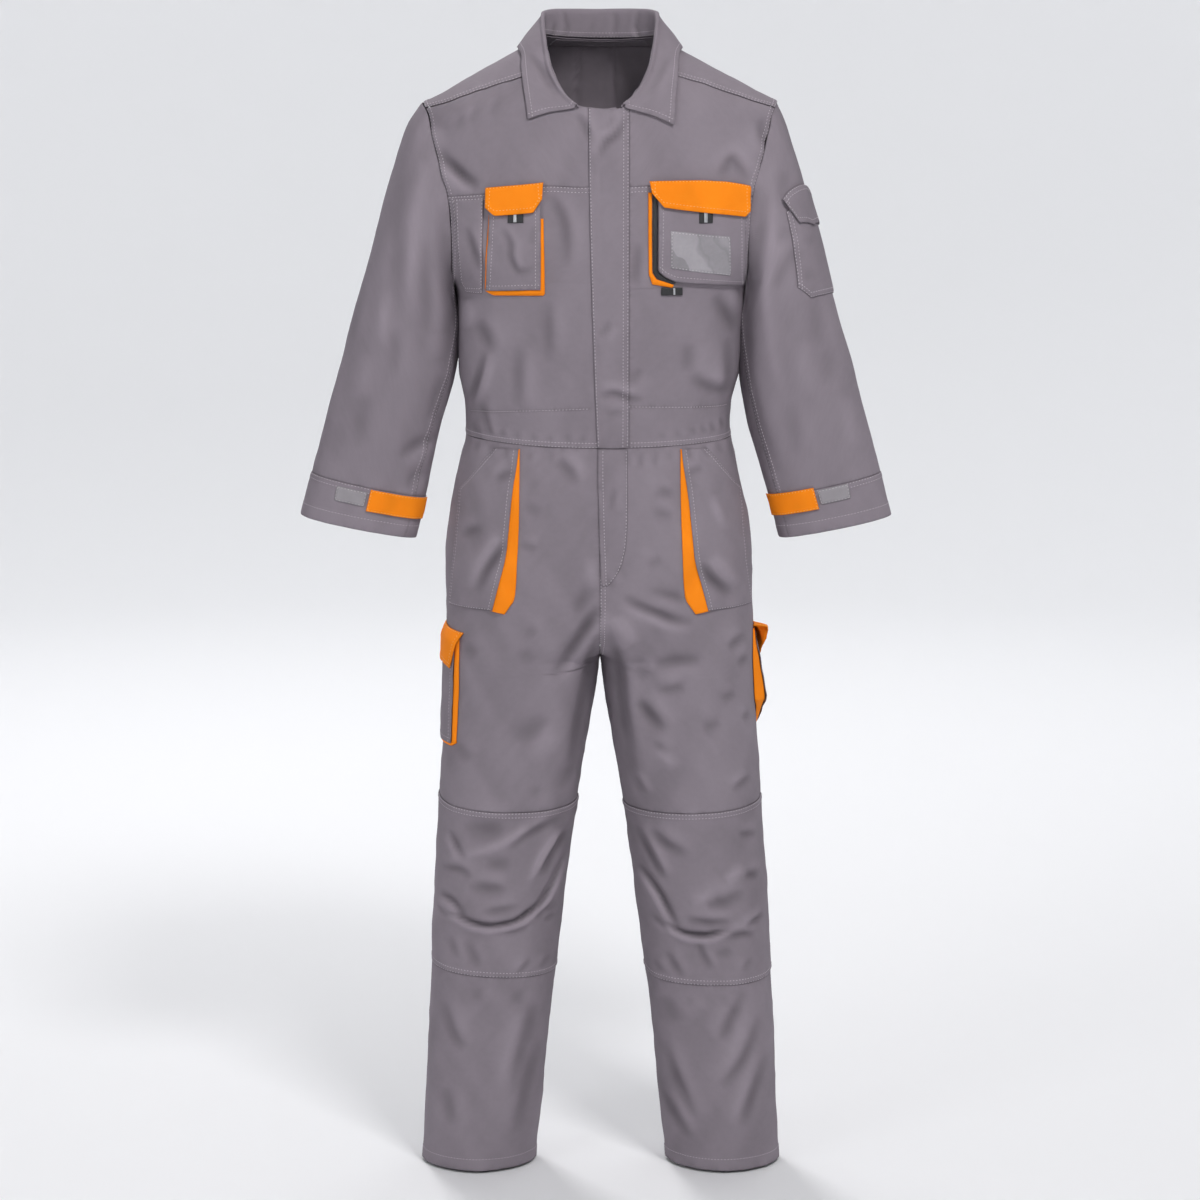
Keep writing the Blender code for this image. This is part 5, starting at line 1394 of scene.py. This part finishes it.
def makeFly():
    table = np.array(trousers["fly"], float)[::-1]

    def grid(u, v):
        z = np.interp(v, (0, 1), (table[-1, 0], table[0, 0]))[:, None]
        free, sewn = (smoothCurve(table[:, 0], table[:, i], z) for i in (1, 2))
        return np.stack(np.broadcast_arrays(free + (sewn - free) * u[None], z), -1)
    makeCloth("flyCover", "grey", "fly", laid(("legFront", 1), grid, lambda u, v: 2.2 - 1.0 * u + 0 * v),
              ("seam", "patch", "turned", "patch"), thick=1.0, sink=0.5, thread="trouserStitches", step=4)


for side, name in ((-1, "right"), (1, "left")):
    makeLeg(side, name)
makeFly()
print("trousers ready")


# the pockets: columns of top across, top height, bottom across, bottom height

pockets = {
    "faceLift": 4.6, "flapLift": 9.4, "tabLift": 6.8, "stripLift": 2.4, "sideLift": 3.0, "windowLift": 6.4,
    "gussetNear": 2.6, "gussetFar": 1.4, "gussetFold": 1.5,
    "chestRight": [(-148.5, -214, -154.5, -343.5), (-126, -212, -130, -343), (-103, -210, -105, -342),
                   (-80, -208, -80.4, -341.5)],
    "chestLeft": [(79, -212, 79, -315.5), (90, -212, 90, -325), (104, -212, 104, -331), (150, -212, 150, -334.5),
                  (175, -213, 174.5, -336), (188, -213.5, 187, -336.5), (197, -214, 196, -337)],
    "side": [(-201, -220, -190.5, -332), (-196, -219.5, -183, -349), (-172, -218, -166, -349),
             (-158.5, -217, -160.5, -348.5)],
    "flapRight": [(-154, -204, -154, -231), (-141.5, -202.8, -141.7, -242), (-115, -200.5, -115, -240),
                  (-89.7, -198, -89.7, -237.5), (-76.3, -196.5, -77.5, -219)],
    "flapLeft": [(66.5, -195, 69.5, -211), (83, -194.5, 86, -230.5), (112, -194, 114, -234.5),
                 (140, -194, 143, -238), (170, -196, 173, -241), (191, -199.5, 194, -243.5),
                 (201.5, -202, 200.5, -236)],
    # from the edge under the face to the edge on the panel
    "gussetRight": [(-147, -240, -151, -240), (-150, -300, -155.5, -300), (-152, -342, -157, -344),
                    (-146, -343.2, -146, -350.5), (-115, -342.5, -113, -350), (-82.5, -341, -75, -349.5),
                    (-81.5, -300, -75.5, -300), (-81, -245, -76.5, -245)],
    "gussetLeft": [(70.5, -210, 65.3, -210), (70.5, -270, 65.5, -270), (70.8, -318, 66, -320), (77, -327, 71, -334),
                   (100, -334.5, 98, -339)],
    "zipStrip": [(77.8, -212, 71.6, -212), (77.8, -270, 71.6, -270), (78, -316, 72, -318), (88, -325, 79, -327.5),
                 (103.5, -332.3, 100.5, -334.4)],
    "tabRight": [(-124, -232, -124, -251), (-103.3, -231, -103.3, -251)],
    "tabLeft": [(133.4, -232, 133.4, -251.7), (151.4, -232, 151.4, -251.7)],
    "endTab": [(83.2, -338.5, 83.2, -349), (112, -338.5, 112, -349)],
    "silver": {"right": (-116.6, -112.2, -233, -250), "left": (140, 144.6, -233, -250.6),
               "end": (99.6, 102.2, -339.4, -348.4)},
    "window": [(95.3, -261.7, 95.3, -312), (122, -264.5, 122, -316), (149, -267.5, 149, -319.5),
               (175.5, -270, 176, -322.7)],
    # height, across of the hip pocket's inner edge, across of the gusset's seam on the panel
    "hipEdge": [(-563, 110.9, 110.2), (-580, 112.8, 110.3), (-610, 117.6, 110.6), (-635, 121, 110.9),
                (-662, 123.6, 111.4), (-690, 126.6, 112.5), (-715, 129.6, 113.8), (-743, 136.6, 115.2),
                (-765, 142.5, 117), (-773, 144.5, 119), (-788, 148.5, 132)],
    "hipOpening": [(-789, 212), (-625, 196), (-563, 146.5)],
    # turns of the gusset's seam and of the face's two edges, height of its bottom, lift of its front edge
    "cargo": {-1: (47.5, 51.5, 126, -984, 5.8), 1: (73, 80, 150, -975, 16.5)},
    "cargoTop": -834, "cargoFlapTop": -821, "cargoFlapLow": -873, "cargoCorner": 14, "cargoSlope": 34,
    "cargoFlapOver": 3.8,
    # the flap's front columns: turns and height of the top, turns and height of the lower edge
    "cargoFlapFront": {-1: [(-8, -824, 2, -876), (4, -822, 16, -870)],
                       1: [(-8, -822, -6, -830), (3, -821, 8, -846), (14, -821, 16, -854)]},
    # how far the front corner of the foot is raised and the turns over which it falls, and how much of
    # the front edge's lift there is at each height
    "cargoFoot": {-1: (0, 20), 1: (44, 30)},
    "cargoSwell": {-1: [(-990, 1), (-900, 1.15), (-834, 0.95), (-820, 0.9)],
                   1: [(-945, 0.9), (-925, 1.05), (-895, 0.86), (-870, 0.68), (-845, 0.34), (-826, 0.1)]},
}


def makeGusset(name, node, place, columns, near, far, side=0):
    fold = pockets["gussetFold"]
    grid = upright(side, patch(columns)) if side else patch(columns)

    def lift(u, v):
        start = np.interp(u, np.linspace(0, 1, len(near)), near) if len(near) > 1 else near[0]
        return start * (1 - v) + far * v + fold * np.sin(np.pi * v) + 0 * u
    makeCloth(name, "orange", node, laid(place, grid, lift), (None, None, None, None), thick=0.9, step=4)


def makeChestPockets():
    front = ("bodyFront", 1)
    face, flap, tab, strip = (pockets[key] for key in ("faceLift", "flapLift", "tabLift", "stripLift"))
    for name, key in (("right", "chestRight"), ("left", "chestLeft")):
        makeCloth(f"{name}ChestPocket", "grey", f"chest_pocket_{name}", laid(front, patch(pockets[key]), face, 0.8),
                  ("seam", "turned", "turned", "turned"), thick=1.2, thread="pocketStitches", step=4.5)
        key = key.replace("chest", "gusset")
        makeGusset(f"{name}ChestGusset", f"chest_gusset_{name}", front, pockets[key], [pockets["gussetNear"]],
                   pockets["gussetFar"])
        key = key.replace("gusset", "flap")
        makeCloth(f"{name}ChestFlap", "orange", f"chest_flap_{name}", laid(front, patch(pockets[key]), flap, 0.6),
                  ("patch", "turned", "turned", "turned"), thick=1.8, sink=3.4, thread="orangeStitches", step=4)
        key = key.replace("flap", "tab")
        makeCloth(f"{name}FlapTab", "black", f"flap_tab_{name}", laid(front, patch(pockets[key]), tab),
                  ("free",) * 4, thick=1.0, step=4)
    makeCloth("sidePocket", "grey", "side_pocket", laid(front, patch(pockets["side"]), pockets["sideLift"], 0.8),
              ("patch", "patch2", "patch2", "patch"), thick=1.0, sink=2.0, thread="pocketStitches", step=4.5)
    makeCloth("chestZipStrip", "black", "chest_zip_strip", laid(front, patch(pockets["zipStrip"]), strip),
              ("free",) * 4, thick=0.8, step=3)
    makeCloth("pocketEndTab", "black", "pocket_end_tab", laid(front, patch(pockets["endTab"]), strip), ("free",) * 4,
              thick=1.0, step=3)
    makeCloth("pocketWindow", "film", "pocket_window", laid(front, patch(pockets["window"]), pockets["windowLift"]),
              ("patch",) * 4, thick=0.5, sink=0.6, thread="pocketStitches", step=4)
    for name, (left, right, top, low) in pockets["silver"].items():
        lift = (strip if name == "end" else tab) + 0.35
        makeCloth(f"{name}SilverEnd", "silver", None, laid(front, patch([(left, top, left, low), (right, top, right, low)]),
                                                          lift), ("free",) * 4, thick=0.5, step=3)


def makeHipPocket(side, name):
    place = ("legFront", side)
    table = np.array(pockets["hipEdge"], float)[::-1]

    def grid(u, v):
        z = np.interp(v, (0, 1), (table[-1, 0], table[0, 0]))[:, None]
        inner = smoothCurve(table[:, 0], table[:, 1], z)
        outer = follow(pockets["hipOpening"], z)
        return np.stack(np.broadcast_arrays(inner + (outer - inner) * u[None], z), -1)

    def lift(u, v):
        return 2.6 + 2.0 * np.clip(1 - 3 * u, 0, 1) + 0 * v
    makeCloth(f"{name}HipPocket", "grey", f"hip_pocket_{name}", laid(place, grid, lift), ("seam", "patch", "turned", "patch2"),
              thick=1.2, sink=1.6, thread="trouserStitches", step=5)
    columns = [(edge + min(4, edge - seam), z, seam, z if z > -780 else z - 4) for z, edge, seam in pockets["hipEdge"]]
    makeGusset(f"{name}HipGusset", f"hip_gusset_{name}", place, columns, [2.4], pockets["gussetFar"])


def cargoRise(side, turns, z):
    start, lift = pockets["cargo"][side][1], pockets["cargo"][side][4] * follow(pockets["cargoSwell"][side], z)
    face = pockets["faceLift"]
    return face + (lift - face) * np.clip(1 - (turns - start) / pockets["cargoSlope"], 0, 1)


def cargoLow(side, turns):
    raised, turnsOver = pockets["cargoFoot"][side]
    start, low = pockets["cargo"][side][1], pockets["cargo"][side][3]
    return low + raised * np.clip(1 - (turns - start) / turnsOver, 0, 1)


def upright(side, grid):
    # a patch whose columns stay plumb above the crotch, where the leg grows into the hip
    def spots(u, v):
        turns, z = np.moveaxis(grid(u, v), -1, 0)
        across = side * legPoint(side, turns, np.minimum(z, form["crotch"]))[..., 0]
        front, back = legTurn(side, across, z, -1), legTurn(side, across, z, 1)
        return np.stack([np.where(z <= form["crotch"], turns, np.where(turns < 90, front, back)), z], -1)
    return spots


def makeCargoPocket(side, name):
    place = ("leg", side)
    seam, start, end, low, lift = pockets["cargo"][side]
    top = pockets["cargoTop"]
    turns = np.linspace(start, end, 8)
    face = upright(side, patch([(turn, top, turn, cargoLow(side, turn)) for turn in turns]))

    def faceLift(u, v):
        turn = start + (end - start) * u
        return cargoRise(side, turn, top + (cargoLow(side, turn) - top) * v)
    makeCloth(f"{name}CargoPocket", "grey", f"cargo_pocket_{name}", laid(place, face, faceLift, 1.0),
              ("seam", "turned", "turned", "turned"), thick=1.2, thread="pocketStitches")
    rows = np.linspace(top + 6, cargoLow(side, start) + 1, 8)
    under = np.arange(start + 4, end - 20, 12)
    columns = [(start + 0.6, z, seam, z) for z in rows]
    columns += [(turn, cargoLow(side, turn) + 2, turn - 2, cargoLow(side, turn) - 5) for turn in under]
    near = [float(cargoRise(side, start, z)) - 2.2 for z in rows]
    near += [float(cargoRise(side, turn, cargoLow(side, turn))) - 2.2 for turn in under]
    makeGusset(f"{name}CargoGusset", f"cargo_gusset_{name}", place, columns, np.maximum(near, 0.6),
               pockets["gussetFar"], side)
    top, low = pockets["cargoFlapTop"], pockets["cargoFlapLow"]
    columns = [(start + a, high, start + b, deep) for a, high, b, deep in pockets["cargoFlapFront"][side]]
    columns += [(turn, top, turn, low) for turn in np.linspace(start + 22, end - 4, 5)]
    columns += [(end + 4, top, end + 4, low + pockets["cargoCorner"])]
    first, span = start - 8, end + 12 - start

    def flapLift(u, v):
        full = cargoRise(side, first + span * u, -925) + pockets["cargoFlapOver"]
        return 1.5 + (full - 1.5) * np.sin(np.pi / 2 * np.clip(v / 0.4, 0, 1))
    makeCloth(f"{name}CargoFlap", "orange", f"cargo_flap_{name}", laid(place, upright(side, patch(columns)), flapLift),
              ("patch", "turned", "turned", "turned"), thick=1.8, thread="orangeStitches", step=4.5)


makeChestPockets()
for side, name in ((-1, "right"), (1, "left")):
    makeHipPocket(side, name)
    makeCargoPocket(side, name)
print("pockets ready")

for name, lines in threads.items():
    sew(name, "orangeThread" if name.startswith("orange") else "greyThread", lines)

faces = sum(len(thing.data.polygons) * (4 if thing.modifiers else 1) for thing in bpy.data.objects if thing.type == "MESH")
print("about", faces, "triangles")
